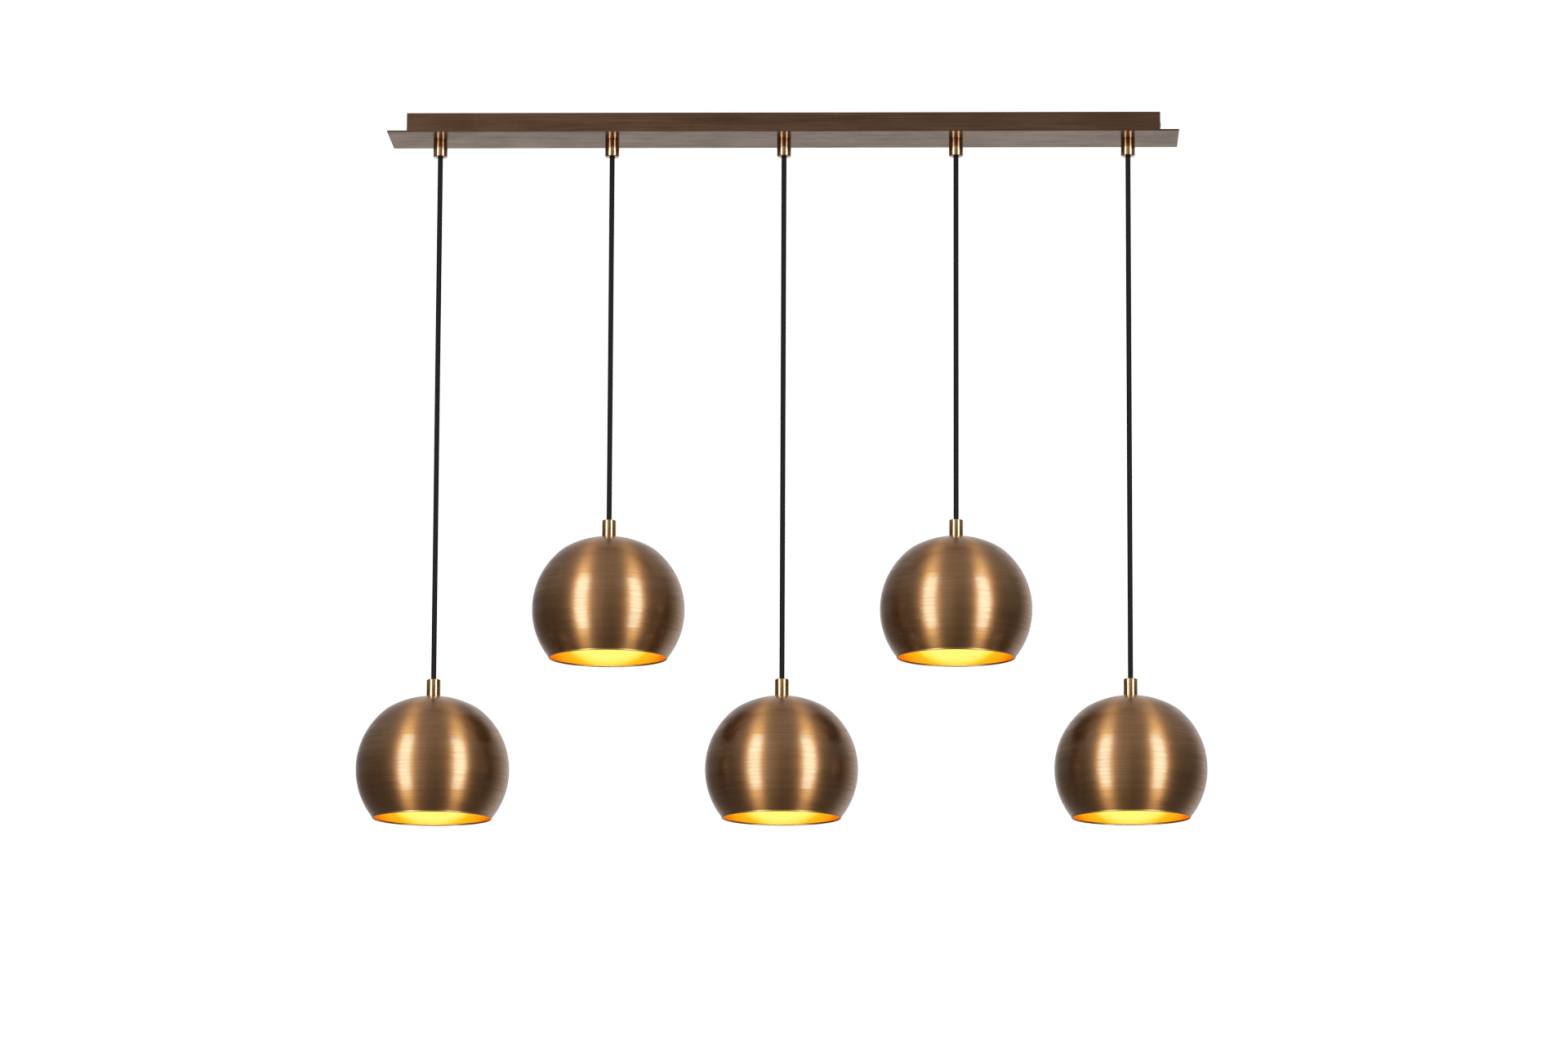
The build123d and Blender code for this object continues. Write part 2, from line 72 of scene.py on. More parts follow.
class Tone(Enum):
    """The metals of this lamp: the colour of the lines' tops, and of the patina between them."""

    BRONZE = ((0.41, 0.235, 0.14), (0.11, 0.045, 0.02))
    ANTIQUE = ((0.57, 0.29, 0.105), (0.33, 0.15, 0.045))
    YELLOW = ((0.74, 0.47, 0.22), (0.50, 0.30, 0.11))
    COPPERY = ((0.80, 0.49, 0.25), (0.54, 0.29, 0.12))
    ZINC = ((0.66, 0.66, 0.64), (0.46, 0.46, 0.45))
    NICKEL = ((0.78, 0.75, 0.70), (0.55, 0.52, 0.47))


@dataclass(frozen=True)
class Layout:
    """Where the pendants hang and what the pieces share, as in the part's source."""

    count: int = 5
    pitch: float = 205 * MM
    lower_drop: float = 758 * MM
    row_step: float = 190 * MM
    plate_underside: float = -26 * MM
    grip_bottom: float = -47 * MM
    pivot: float = -48.5 * MM
    nipple_top: float = -16.8 * MM
    flex_start: float = -18.8 * MM
    cord_radius: float = 3.15 * MM

    def places(self) -> dict[int, float]:
        """Each pendant's number, from left to right, and its place along the bar."""
        return {i + 1: (i - (self.count - 1) / 2) * self.pitch for i in range(self.count)}

    def axes(self, height: float) -> list[Point]:
        """The five places along the bar, at this height."""
        return [(x, 0.0, height) for x in self.places().values()]

    def ball_centre(self, number: int) -> float:
        """The height of this pendant's ball: odd pendants hang low, even ones high."""
        drop = self.lower_drop if number % 2 else self.lower_drop - self.row_step
        return self.plate_underside - drop


LAYOUT = Layout()


# Node graphs


class Term:
    """An output of a node. Sums and products are written with it, each of which adds a Math node."""

    def __init__(self, graph: "Graph", socket: bpy.types.NodeSocket) -> None:
        """Stands for one output in a graph."""
        self.graph = graph
        self.socket = socket

    def do(self, operation: str, *others: "Term | float") -> "Term":
        """Puts this term and the others through one Math node."""
        return self.graph.term("ShaderNodeMath", dict(enumerate((self, *others))), operation=operation)

    def __add__(self, other: "Term | float") -> "Term":
        """The sum."""
        return self.do("ADD", other)

    def __sub__(self, other: "Term | float") -> "Term":
        """The difference."""
        return self.do("SUBTRACT", other)

    def __mul__(self, other: "Term | float") -> "Term":
        """The product."""
        return self.do("MULTIPLY", other)

    def __truediv__(self, other: "Term | float") -> "Term":
        """The quotient."""
        return self.do("DIVIDE", other)

    def sine(self) -> "Term":
        """The sine of an angle in radians."""
        return self.do("SINE")

    def cosine(self) -> "Term":
        """The cosine of an angle in radians."""
        return self.do("COSINE")

    def positive(self) -> "Term":
        """The value where it is over 0, else 0."""
        return self.do("MAXIMUM", 0.0)

    def clamped(self) -> "Term":
        """The value held between 0 and 1."""
        return self.positive().do("MINIMUM", 1.0)

    def split(self) -> "tuple[Term, ...]":
        """A vector's three values."""
        node = self.graph.add("ShaderNodeSeparateXYZ", {0: self})
        return tuple(Term(self.graph, socket) for socket in node.outputs)


class Graph:
    """A node tree that is being built."""

    def __init__(self, tree: bpy.types.NodeTree) -> None:
        """Builds on this tree."""
        self.tree = tree

    def feed(self, place: bpy.types.NodeSocket, value: object) -> None:
        """Gives an input its value.

        Args:
            place: the input.
            value: a term to link, or a plain value to set.
        """
        if isinstance(value, Term):
            self.tree.links.new(value.socket, place)
        else:
            place.default_value = value

    def add(self, kind: str, inputs: dict | None = None, **settings: object) -> bpy.types.Node:
        """Adds a node.

        Args:
            kind: the node's type.
            inputs: values or terms by the input's name or number.
            settings: the node's own properties.

        Returns:
            the node.
        """
        node = self.tree.nodes.new(kind)
        for name, value in settings.items():
            setattr(node, name, value)
        for name, value in (inputs or {}).items():
            self.feed(node.inputs[name], value)
        return node

    def term(self, kind: str, inputs: dict | None = None, gives: str | int = 0, **settings: object) -> Term:
        """Adds a node as above, and takes its output of this name or number."""
        return Term(self, self.add(kind, inputs, **settings).outputs[gives])

    def vector(self, x: object = 0.0, y: object = 0.0, z: object = 0.0) -> Term:
        """Three values joined into a vector."""
        return self.term("ShaderNodeCombineXYZ", {0: x, 1: y, 2: z})

    def place(self) -> Term:
        """Where a point lies, in the frame of its object."""
        return self.term("ShaderNodeTexCoord", gives="Object")

    def ray(self, name: str) -> Term:
        """What is known of the ray that meets the surface."""
        return self.term("ShaderNodeLightPath", gives=name)

    def noise(self, where: Term, scale: object = 1.0, detail: object = 2.0, roughness: float = 0.5) -> Term:
        """A cloudy pattern from 0 to 1."""
        inputs = {"Vector": where, "Scale": scale, "Detail": detail, "Roughness": roughness}
        return self.term("ShaderNodeTexNoise", inputs)

    def ramp(self, value: Term, ramp: Ramp, curve: str = "SMOOTHSTEP") -> Term:
        """A value carried from one range to another."""
        inputs = dict(enumerate((value, *ramp)))
        return self.term("ShaderNodeMapRange", inputs, interpolation_type=curve)

    def mix(self, factor: Term, low: object, high: object) -> Term:
        """A colour between two others, each a term or a plain colour."""
        ends = [(*colour, 1.0) if isinstance(colour, tuple) else colour for colour in (low, high)]
        return self.term("ShaderNodeMix", {0: factor, 6: ends[0], 7: ends[1]}, 2, data_type="RGBA")

    def bump(self, height: Term, depth: float) -> Term:
        """The normals of a relief from 0 to 1, this deep in metres."""
        return self.term("ShaderNodeBump", {"Height": height, "Distance": depth, "Strength": 1.0})

    def mirrored_from_afar(self, reach: float) -> Term:
        """1 for light that it scatters to others, or is mirrored in further off than this, else 0."""
        far = self.ray("Ray Length").do("GREATER_THAN", reach)
        return (self.ray("Is Glossy Ray") * far + self.ray("Is Diffuse Ray")).do("MINIMUM", 1.0)


Maker = Callable[[Graph, SimpleNamespace], dict[str, Term]]
INPUT_TYPES = (
    (float, "NodeSocketFloat"),
    (int, "NodeSocketInt"),
    (tuple, "NodeSocketVector"),
    (bpy.types.Material, "NodeSocketMaterial"),
)
OUTPUT_TYPES = {"ShaderNodeTree": "NodeSocketFloat", "GeometryNodeTree": "NodeSocketGeometry"}


def label(name: str) -> str:
    """A name as a node group shows it."""
    return name.replace("_", " ").capitalize()


def group(kind: str, name: str, takes: dict[str, object], make: Maker) -> bpy.types.NodeTree:
    """A node group, made at its first use.

    Args:
        kind: the type of its tree.
        name: its name.
        takes: its inputs' names and defaults.
        make: adds the nodes and returns the outputs by name, given a graph and the inputs.

    Returns:
        the group.
    """
    tree = bpy.data.node_groups.get(name)
    if tree is None:
        tree = bpy.data.node_groups.new(name, kind)
        for key, value in takes.items():
            socket_type = next(socket for value_type, socket in INPUT_TYPES if isinstance(value, value_type))
            socket = tree.interface.new_socket(label(key), in_out="INPUT", socket_type=socket_type)
            socket.default_value = value
        graph = Graph(tree)
        entry = graph.add("NodeGroupInput")
        inputs = {key: Term(graph, entry.outputs[label(key)]) for key in takes}
        results = make(graph, SimpleNamespace(**inputs))
        for key in results:
            tree.interface.new_socket(label(key), in_out="OUTPUT", socket_type=OUTPUT_TYPES[kind])
        graph.add("NodeGroupOutput", {label(key): result for key, result in results.items()})
    return tree


@dataclass(frozen=True)
class Effect:
    """A shader group that finishes are made of."""

    takes: dict[str, object]
    make: Maker

    def on(self, graph: Graph, **values: object) -> SimpleNamespace:
        """Puts the effect into a material.

        Args:
            graph: the material's graph.
            values: the inputs that differ from their defaults.

        Returns:
            the effect's outputs by name.
        """
        tree = group("ShaderNodeTree", self.make.__name__.replace("_", " "), self.takes, self.make)
        inputs = {label(key): value for key, value in values.items()}
        node = graph.add("ShaderNodeGroup", inputs, node_tree=tree)
        return SimpleNamespace(**{socket.name.lower(): Term(graph, socket) for socket in node.outputs})


def effect(**takes: object) -> Callable[[Maker], Effect]:
    """Turns the function below it into an effect with these inputs and defaults."""
    return lambda make: Effect(takes, make)


# Effects that finishes are made of


@effect(pitch=LAYOUT.pitch, row_step=LAYOUT.row_step, low_ball=LAYOUT.ball_centre(1))
def cord_place(graph: Graph, takes: SimpleNamespace) -> dict[str, Term]:
    """Where a point lies about its own pendant's axis, the same for all five pendants."""
    x, y, z = graph.place().split()
    half_pitch, half_step = takes.pitch * 0.5, takes.row_step * 0.5
    across = x.do("WRAP", half_pitch, half_pitch * -1.0)
    height = (z - takes.low_ball).do("WRAP", half_step, half_step * -1.0)
    radius = (across * across + y * y).do("SQRT")
    return {"across": across, "depth": y, "height": height, "radius": radius}


@effect(vector=(0.0, 0.0, 0.0), detail=5.0, band_width=(0.31, 0.16, 0.16), low=0.3, high=0.7)
def brush_lines(graph: Graph, takes: SimpleNamespace) -> dict[str, Term]:
    """Fine lines and broader bands along one direction, from a stretched pattern."""
    wide = {0: takes.vector, 1: takes.band_width}
    bands = graph.noise(graph.term("ShaderNodeVectorMath", wide, operation="MULTIPLY"))
    lines = graph.noise(takes.vector, detail=takes.detail, roughness=0.72)
    ramp = (takes.low, takes.high, 0.0, 1.0)
    return {"lines": graph.ramp(lines, ramp, "LINEAR"), "bands": graph.ramp(bands, ramp, "LINEAR")}


@effect(scale=20.0, contrast=0.5, finer=9.0, crumbs=0.25)
def patina(graph: Graph, takes: SimpleNamespace) -> dict[str, Term]:
    """Soft blotches of tarnish with a finer break-up inside them."""
    where = graph.place()
    blotch = graph.noise(where, takes.scale, detail=5.0)
    crumb = graph.noise(where, takes.scale * takes.finer, detail=3.0, roughness=0.6)
    both = blotch + (crumb - blotch) * takes.crumbs - 0.5
    return {"mask": (both * takes.contrast * 4.0 + 0.5).clamped()}


@effect(amount=0.5, steepness=3.0, scale=60.0)
def dust(graph: Graph, takes: SimpleNamespace) -> dict[str, Term]:
    """A mask of settled dust: on faces that look up, thicker in patches."""
    up = graph.term("ShaderNodeNewGeometry", gives="Normal").split()[2]
    cloud = graph.noise(graph.place(), takes.scale, detail=6.0, roughness=0.7)
    level = up.positive().do("POWER", takes.steepness) * (cloud * 1.4 - 0.2)
    return {"mask": (level * takes.amount).clamped()}


@effect(level=0.0, width=0.001)
def spun_ring(graph: Graph, takes: SimpleNamespace) -> dict[str, Term]:
    """One soft ring about the cord, as a spinning tool leaves it, darkened partly as painted shade of the
    ball's bend there.
    """
    off = (cord_place.on(graph).height - takes.level) / takes.width
    return {"mask": (off * off * -1.0).do("EXPONENT")}


@effect(amount=0.9, narrowness=6.0)
def folded_corner(graph: Graph, takes: SimpleNamespace) -> dict[str, Term]:
    """A mask of the upright folds of sheet metal, where painted shade darkens the colour and dulls the
    highlight.
    """
    x, y, _ = graph.term("ShaderNodeNewGeometry", gives="True Normal").split()
    return {"mask": ((x * y).do("ABSOLUTE") * takes.narrowness).do("MINIMUM", 1.0) * takes.amount}


@effect(scale=1500.0)
def fine_grain(graph: Graph, takes: SimpleNamespace) -> dict[str, Term]:
    """The fine even grain of moulded plastic and of yarn."""
    return {"height": graph.noise(graph.place(), takes.scale, roughness=0.55)}


# Finishes


@dataclass(frozen=True)
class Finish:
    """What every finish shares: its name, and a material made from it once."""

    name: str
    eye_only: bool = field(default=False, init=False)  # whether its glow lights nothing

    def material(self) -> bpy.types.Material:
        """The finish as a material, made at its first use."""
        made = bpy.data.materials.get(self.name)
        if made is None:
            made = bpy.data.materials.new(self.name)
            made.use_nodes = True
            graph = Graph(made.node_tree)
            shader = made.node_tree.nodes["Principled BSDF"]
            for name, value in self.looks(graph).items():
                graph.feed(shader.inputs[name], value)
            if self.eye_only:
                made.cycles.emission_sampling = "NONE"
        return made

    def looks(self, graph: Graph) -> dict[str, object]:
        """Adds the material's nodes.

        Args:
            graph: the material's graph.

        Returns:
            what its shader gets: a term or a constant by the input's name.
        """
        raise NotImplementedError


@dataclass(frozen=True)
class BrushedMetal(Finish):
    """Brushed or turned metal with a patina, thinly lacquered."""

    tone: Tone
    brushing: Brushing
    roughness: float = 0.34
    play: float = 0.14  # how much the roughness changes from line to line
    stretch: float = 0.75  # of its highlights, across the lines
    per_metre: float = 1500.0  # lines
    along: float = 14.0  # how often a line on the bar changes in a metre
    around: tuple[float, float] = (1.1, 2.3)  # the same round the cord, across and in depth
    lean: float = 0.8  # what a step away from the cord counts for, beside a step up
    relief: float = 0.012 * MM
    tarnish: float = 0.5
    shares: tuple[float, float, float] = (0.5, 0.3, 0.2)  # of lines, bands and patina in the colour
    hollow_shade: float = 0.3  # of the patina's colour, for painted shade in folds and rings, and for specks
    coat: float = 0.25
    coat_roughness: float = 0.16
    coat_ior: float = 1.5
    rings: tuple[tuple[float, float], ...] = ()  # spun into it: level over the ball's middle, and width; darkened partly as painted shade of the bend there
    ring_depth: float = 0.15  # how far they are darkened, partly as painted shade
    mirrored: float = 1.0  # how bright its colour is painted where another pendant's metal mirrors it from afar: painted shade
    mirrored_beyond: float = 60 * MM
    core: float = 0.1 * MM  # the least radius that counts
    relief_shares: tuple[float, float] = (0.7, 0.3)  # of lines and bands
    tarnish_shine: float = 0.08  # how much smoother the patina is
    hollow_roughness: float = 0.2
    speck_scale: float = 300.0  # of what the brush leaves on a plain turned piece
    speck_contrast: float = 0.2
    speck_depth: float = 0.1

    def stretched(self, graph: Graph) -> Term:
        """Coordinates stretched along the brushing, in lines."""
        if self.brushing is Brushing.ALONG_BAR:
            x, y, z = graph.place().split()
            return graph.vector(x * self.along, y * self.per_metre, z * self.per_metre)
        place = cord_place.on(graph)
        radius = place.radius.do("MAXIMUM", self.core)
        across, depth = place.across / radius, place.depth / radius
        rise = (place.height + radius * self.lean) * self.per_metre
        return graph.vector(across * self.around[0] + depth * self.around[1], rise, depth * self.around[0])

    def hollows(self, graph: Graph) -> Term:
        """A mask of what is made darker: folded corners, as painted shade; the rings spun into a ball,
        partly painted shade; or specks.
        """
        if self.brushing is Brushing.ALONG_BAR:
            return folded_corner.on(graph).mask
        if not self.rings:
            specks = patina.on(graph, scale=self.speck_scale, contrast=self.speck_contrast)
            return specks.mask * self.speck_depth
        # The spun rings' darkening is partly a real mark and partly painted shade of the ball's bend.
        first, *others = [spun_ring.on(graph, level=level, width=width).mask for level, width in self.rings]
        return sum(others, first) * self.ring_depth

    def looks(self, graph: Graph) -> dict[str, object]:
        """Mixes the two colours of the tone by lines, bands and patina."""
        lines = brush_lines.on(graph, vector=self.stretched(graph))
        tarnish = patina.on(graph, contrast=self.tarnish).mask
        parts = zip((lines.lines, lines.bands, tarnish), self.shares)
        first, *others = [part * share for part, share in parts]
        high, low = self.tone.value
        # Painted shade in folds and rings, and real specks, darken the colour and roughen it.
        shade_and_specks = self.hollows(graph)
        metal = graph.mix(sum(others, first), low, high)
        metal = graph.mix(shade_and_specks, metal, tuple(c * self.hollow_shade for c in low))
        # Painted shade: the colour goes toward black where the metal is mirrored from afar or scatters light
        # onto others.
        if self.mirrored < 1:
            far = graph.mirrored_from_afar(self.mirrored_beyond)
            metal = graph.mix(far * (1.0 - self.mirrored), metal, BLACK)
        middle = self.roughness + (self.play + self.tarnish_shine) * 0.5
        rough = lines.lines * -self.play + tarnish * -self.tarnish_shine + middle
        relief = lines.lines * self.relief_shares[0] + lines.bands * self.relief_shares[1]
        across = graph.vector(0.0, 1.0 if self.brushing is Brushing.ALONG_BAR else 0.0, 1.0)
        turn = {"convert_from": "OBJECT", "convert_to": "WORLD"}
        return {
            "Base Color": metal,
            "Roughness": rough + shade_and_specks * self.hollow_roughness,
            "Tangent": graph.term("ShaderNodeVectorTransform", {0: across}, **turn),
            "Normal": graph.bump(relief, self.relief),
            "Metallic": 1.0,
            "Anisotropic": self.stretch,
            "Coat Weight": self.coat,
            "Coat Roughness": self.coat_roughness,
            "Coat IOR": self.coat_ior,
        }


@dataclass(frozen=True)
class GoldLining(Finish):
    """The smooth golden lacquer inside the balls, with faint spinning rings; painted reflected light makes
    it redder where seen aslant, and a painted glow stands in for the bulb's light on it.
    """

    per_metre: float = 700.0  # rings
    relief: float = 0.01 * MM
    reach: float = 100 * MM  # of the light that it throws on; beyond it, and to scattered light, its colour is painted black as painted shade
    straight_on: float = 0.23  # the least slant at which a mouth shows it, where the painted glow is yellowest
    aslant: float = 0.31  # from where its colour and painted glow redden, as painted reflected light
    reddening: float = 2.6
    fades: tuple[float, float] = (8.0, -3.0)  # of the middle's painted glow, more and less aslant
    # Its colours: two of the lacquer, then a painted red that stands in for reflected light at a slant
    gold: tuple[Colour, Colour, Colour] = ((0.95, 0.58, 0.06), (1.0, 0.66, 0.10), (0.92, 0.24, 0.004))
    # Painted glow, seen by the eye alone: yellow straight on, orange beside, red at a slant
    glow: tuple[Colour, Colour, Colour] = ((1.25, 1.35, 0.2), (1.2, 0.45, 0.0), (0.9, 0.13, 0.0))
    pulse: tuple[float, float] = (0.3, 0.85)  # of the painted glow: with the rings, and its least
    shine: tuple[float, float] = (-0.06, 0.36)  # its roughness: with the rings, and its most
    eye_only: bool = field(default=True, init=False)

    def looks(self, graph: Graph) -> dict[str, object]:
        """Rings about the cord in colour and relief, a colour painted redder aslant, and a painted glow from
        yellow through gold to red.
        """
        rise = cord_place.on(graph).height * self.per_metre
        rings = brush_lines.on(graph, vector=graph.vector(0.0, rise, 0.0), detail=2.0)
        bright = (rings.lines + rings.bands) * 0.5
        # Painted light: the colour reddens at a slant and the eye sees a painted glow, standing in for the
        # bulb's light thrown round inside the ball.
        facing = graph.term("ShaderNodeLayerWeight", {"Blend": 0.5}, "Facing")
        slant = ((facing - self.aslant) * self.reddening).clamped()
        off = facing - self.straight_on
        beside = (off * self.fades[0]).do("MAXIMUM", off * self.fades[1]).do("MINIMUM", 1.0)
        gold = graph.mix(slant, graph.mix(bright, *self.gold[:2]), self.gold[2])
        glow = graph.mix(slant, graph.mix(beside, *self.glow[:2]), self.glow[2])
        seen = graph.ray("Is Camera Ray") * (bright * self.pulse[0] + self.pulse[1])
        return {
            # Painted shade: black to rays from afar and to scattered light, so the lining throws no light on
            # other pendants.
            "Base Color": graph.mix(graph.mirrored_from_afar(self.reach), gold, BLACK),
            "Emission Color": graph.mix(seen, BLACK, glow),
            "Roughness": rings.lines * self.shine[0] + self.shine[1],
            "Normal": graph.bump(rings.lines, self.relief),
            "Metallic": 0.85,
            "Emission Strength": 1.0,
        }


@dataclass(frozen=True)
class Sleeve(Finish):
    """The cord's woven textile sleeve: two sets of strands that cross."""

    strands: int = 16  # round the cord, each way
    rise: float = LAYOUT.row_step / 86  # between a strand's neighbours
    relief: float = 0.05 * MM
    yarn: tuple[Colour, Colour] = ((0.005, 0.004, 0.004), (0.014, 0.011, 0.011))
    brightness: tuple[float, float, float] = (0.75, 0.4, 0.1)  # from weave and grain, less the last
    relief_shares: tuple[float, float] = (0.8, 0.2)  # of weave and grain

    def looks(self, graph: Graph) -> dict[str, object]:
        """Strands as two crossing waves about the cord, black with a brown cast."""
        place = cord_place.on(graph)
        turn = place.depth.do("ARCTAN2", place.across) * (self.strands / 2.0)
        climb = place.height * (math.pi / self.rise)
        weave = (turn + climb).sine().do("ABSOLUTE") * (turn - climb).sine().do("ABSOLUTE")
        grain = fine_grain.on(graph, scale=2600.0).height
        woven, grained, less = self.brightness
        high, low = self.relief_shares
        return {
            "Base Color": graph.mix(weave * woven + grain * grained - less, *self.yarn),
            "Normal": graph.bump(weave * high + grain * low, self.relief),
            "Roughness": 0.8,
            "Specular IOR Level": 0.2,
        }


@dataclass(frozen=True)
class Moulded(Finish):
    """Moulded plastic with a fine grain, and dust where it faces up."""

    colour: Colour
    roughness: float = 0.45
    dusty: float = 0.25
    clear: float = 0.0
    relief: float = 0.03 * MM
    shade: float = 0.82  # of its colour, in the darker patches
    dust_colour: Colour = (0.62, 0.59, 0.55)
    dust_roughness: float = 0.35  # how much rougher dust is
    patch_shine: float = 0.06  # how much smoother the paler patches are

    def looks(self, graph: Graph) -> dict[str, object]:
        """Grain in relief, patches in colour, dust on top."""
        patches = patina.on(graph, scale=45.0, contrast=0.35).mask
        settled = dust.on(graph, amount=self.dusty).mask
        body = graph.mix(patches, tuple(c * self.shade for c in self.colour), self.colour)
        middle = self.roughness + self.patch_shine * 0.5
        return {
            "Base Color": graph.mix(settled, body, self.dust_colour),
            "Roughness": settled * self.dust_roughness + patches * -self.patch_shine + middle,
            "Normal": graph.bump(fine_grain.on(graph).height, self.relief),
            "Transmission Weight": self.clear,
            "IOR": 1.5,
        }


@dataclass(frozen=True)
class PaleFloor(Finish):
    """A plain floor that glows a little, so that it looks white from above."""

    colour: Colour = (0.86, 0.85, 0.84)
    glow: Colour = (0.99, 0.98, 0.97)
    strength: float = 0.75
    roughness: float = 0.9
    gloss: float = 0.1
    eye_only: bool = field(default=True, init=False)

    def looks(self, graph: Graph) -> dict[str, object]:
        """Constants alone."""
        return {
            "Base Color": (*self.colour, 1.0),
            "Roughness": self.roughness,
            "Specular IOR Level": self.gloss,
            "Emission Color": (*self.glow, 1.0),
            "Emission Strength": self.strength,
        }


@dataclass(frozen=True)
class LitGlass(Finish):
    """The opal glass of a lit bulb, warm, and toned down to the eye as a film would show it."""

    strength: float = 14.0
    shown: float = 0.17  # of its light, to the eye
    light: tuple[Colour, Colour] = ((1.0, 0.72, 0.38), (1.0, 0.78, 0.46))
    glass: tuple[Colour, Colour] = ((0.93, 0.90, 0.84), (0.98, 0.96, 0.92))

    def looks(self, graph: Graph) -> dict[str, object]:
        """Glow with a faint flow of the opal layer."""
        flow = patina.on(graph, scale=60.0, contrast=0.3).mask
        dimmed = graph.ray("Is Camera Ray") * (1.0 - self.shown)
        return {
            "Base Color": graph.mix(flow, *self.glass),
            "Emission Color": graph.mix(dimmed, graph.mix(flow, *self.light), BLACK),
            "Emission Strength": self.strength,
            "Roughness": 0.25,
        }


SPUN_BRASS = BrushedMetal(
    "spun brass",
    Tone.ANTIQUE,
    Brushing.AROUND_CORD,
    roughness=0.42,
    play=0.26,
    stretch=0.85,
    per_metre=650.0,
    coat=0.75,
    coat_roughness=0.2,
    coat_ior=1.75,
    rings=((56 * MM, 1.6 * MM), (-28 * MM, 1.0 * MM)),
    mirrored=0.25,
)
BAR_BRONZE = BrushedMetal(
    "brushed bronze",
    Tone.BRONZE,
    Brushing.ALONG_BAR,
    roughness=0.28,
    play=0.16,
    per_metre=420.0,
    tarnish=0.8,
    coat=0.35,
    coat_roughness=0.2,
)
COLLAR_BRASS = BrushedMetal(
    "turned collar",
    Tone.YELLOW,
    Brushing.AROUND_CORD,
    roughness=0.16,
    play=0.03,
    stretch=0.1,
    per_metre=4000.0,
    relief=0.0004 * MM,
    tarnish=0.3,
    coat=0.8,
    coat_roughness=0.12,
    coat_ior=1.8,
)
GRIP_BRASS = replace(COLLAR_BRASS, name="turned grip", tone=Tone.COPPERY)
SCREW_BRONZE = BrushedMetal("bronzed screw", Tone.BRONZE, Brushing.AROUND_CORD, roughness=0.45, coat=0.1)
RIM_BRASS = replace(SCREW_BRONZE, name="rolled rim", tone=Tone.YELLOW, play=0.08, coat=0.05)
ZINC = BrushedMetal("zinc plate", Tone.ZINC, Brushing.ALONG_BAR, roughness=0.38, stretch=0.2, coat=0.0)
NICKEL = replace(ZINC, name="nickel plate", tone=Tone.NICKEL, brushing=Brushing.AROUND_CORD, roughness=0.22)
LINING = GoldLining("gold lining")
SLEEVE = Sleeve("woven sleeve")
BLACK_PLASTIC = Moulded("black plastic", (0.035, 0.034, 0.033), dusty=0.1)
BLACK_SHEATH = Moulded("flex sheath", (0.028, 0.028, 0.03), roughness=0.5, dusty=0.3)
WHITE_PLASTIC = Moulded("white plastic", (0.78, 0.77, 0.73))
CLEAR_PLASTIC = Moulded("clear plastic", (0.86, 0.84, 0.74), roughness=0.3, clear=0.35)
OPAL = LitGlass("lit opal glass")


# Pieces in the scene


def in_scene(name: str, data: bpy.types.ID) -> bpy.types.Object:
    """A new object of the scene, made from this mesh, curve, camera or light."""
    made = bpy.data.objects.new(name, data)
    bpy.context.scene.collection.objects.link(made)
    return made


def finished(
    mesh: bpy.types.Mesh, name: str, body: str, node: str, finish: Finish | None = None
) -> bpy.types.Object:
    """Puts a finished mesh in the scene as a piece of the lamp.

    Args:
        mesh: the mesh, in place.
        name: the piece's name.
        body: the body that it rides on.
        node: the plain solid that it stands for.
        finish: its finish, unless the mesh has its own materials.

    Returns:
        the piece.
    """
    if finish is not None:
        mesh.materials.append(finish.material())
    mesh.shade_smooth()
    mesh.set_sharp_from_angle(angle=SHARP_ANGLE)
    return joined_in(in_scene(name, mesh), body, node)


def joined_in(piece: bpy.types.Object, body: str, node: str) -> bpy.types.Object:
    """Makes a new object ride on a body and stand for its solid."""
    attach(piece, body)
    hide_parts(node)
    log.info("%s: rides on %s, stands for %s", piece.name, body, node)
    return piece


def dressed(finish: Finish, *nodes: str) -> None:
    """Gives carried-over solids a finish."""
    for node in nodes:
        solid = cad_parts[node]
        solid.data.materials.clear()
        solid.data.materials.append(finish.material())
        log.info("%s: dressed in %s", node, finish.name)


# Ways to make a shape


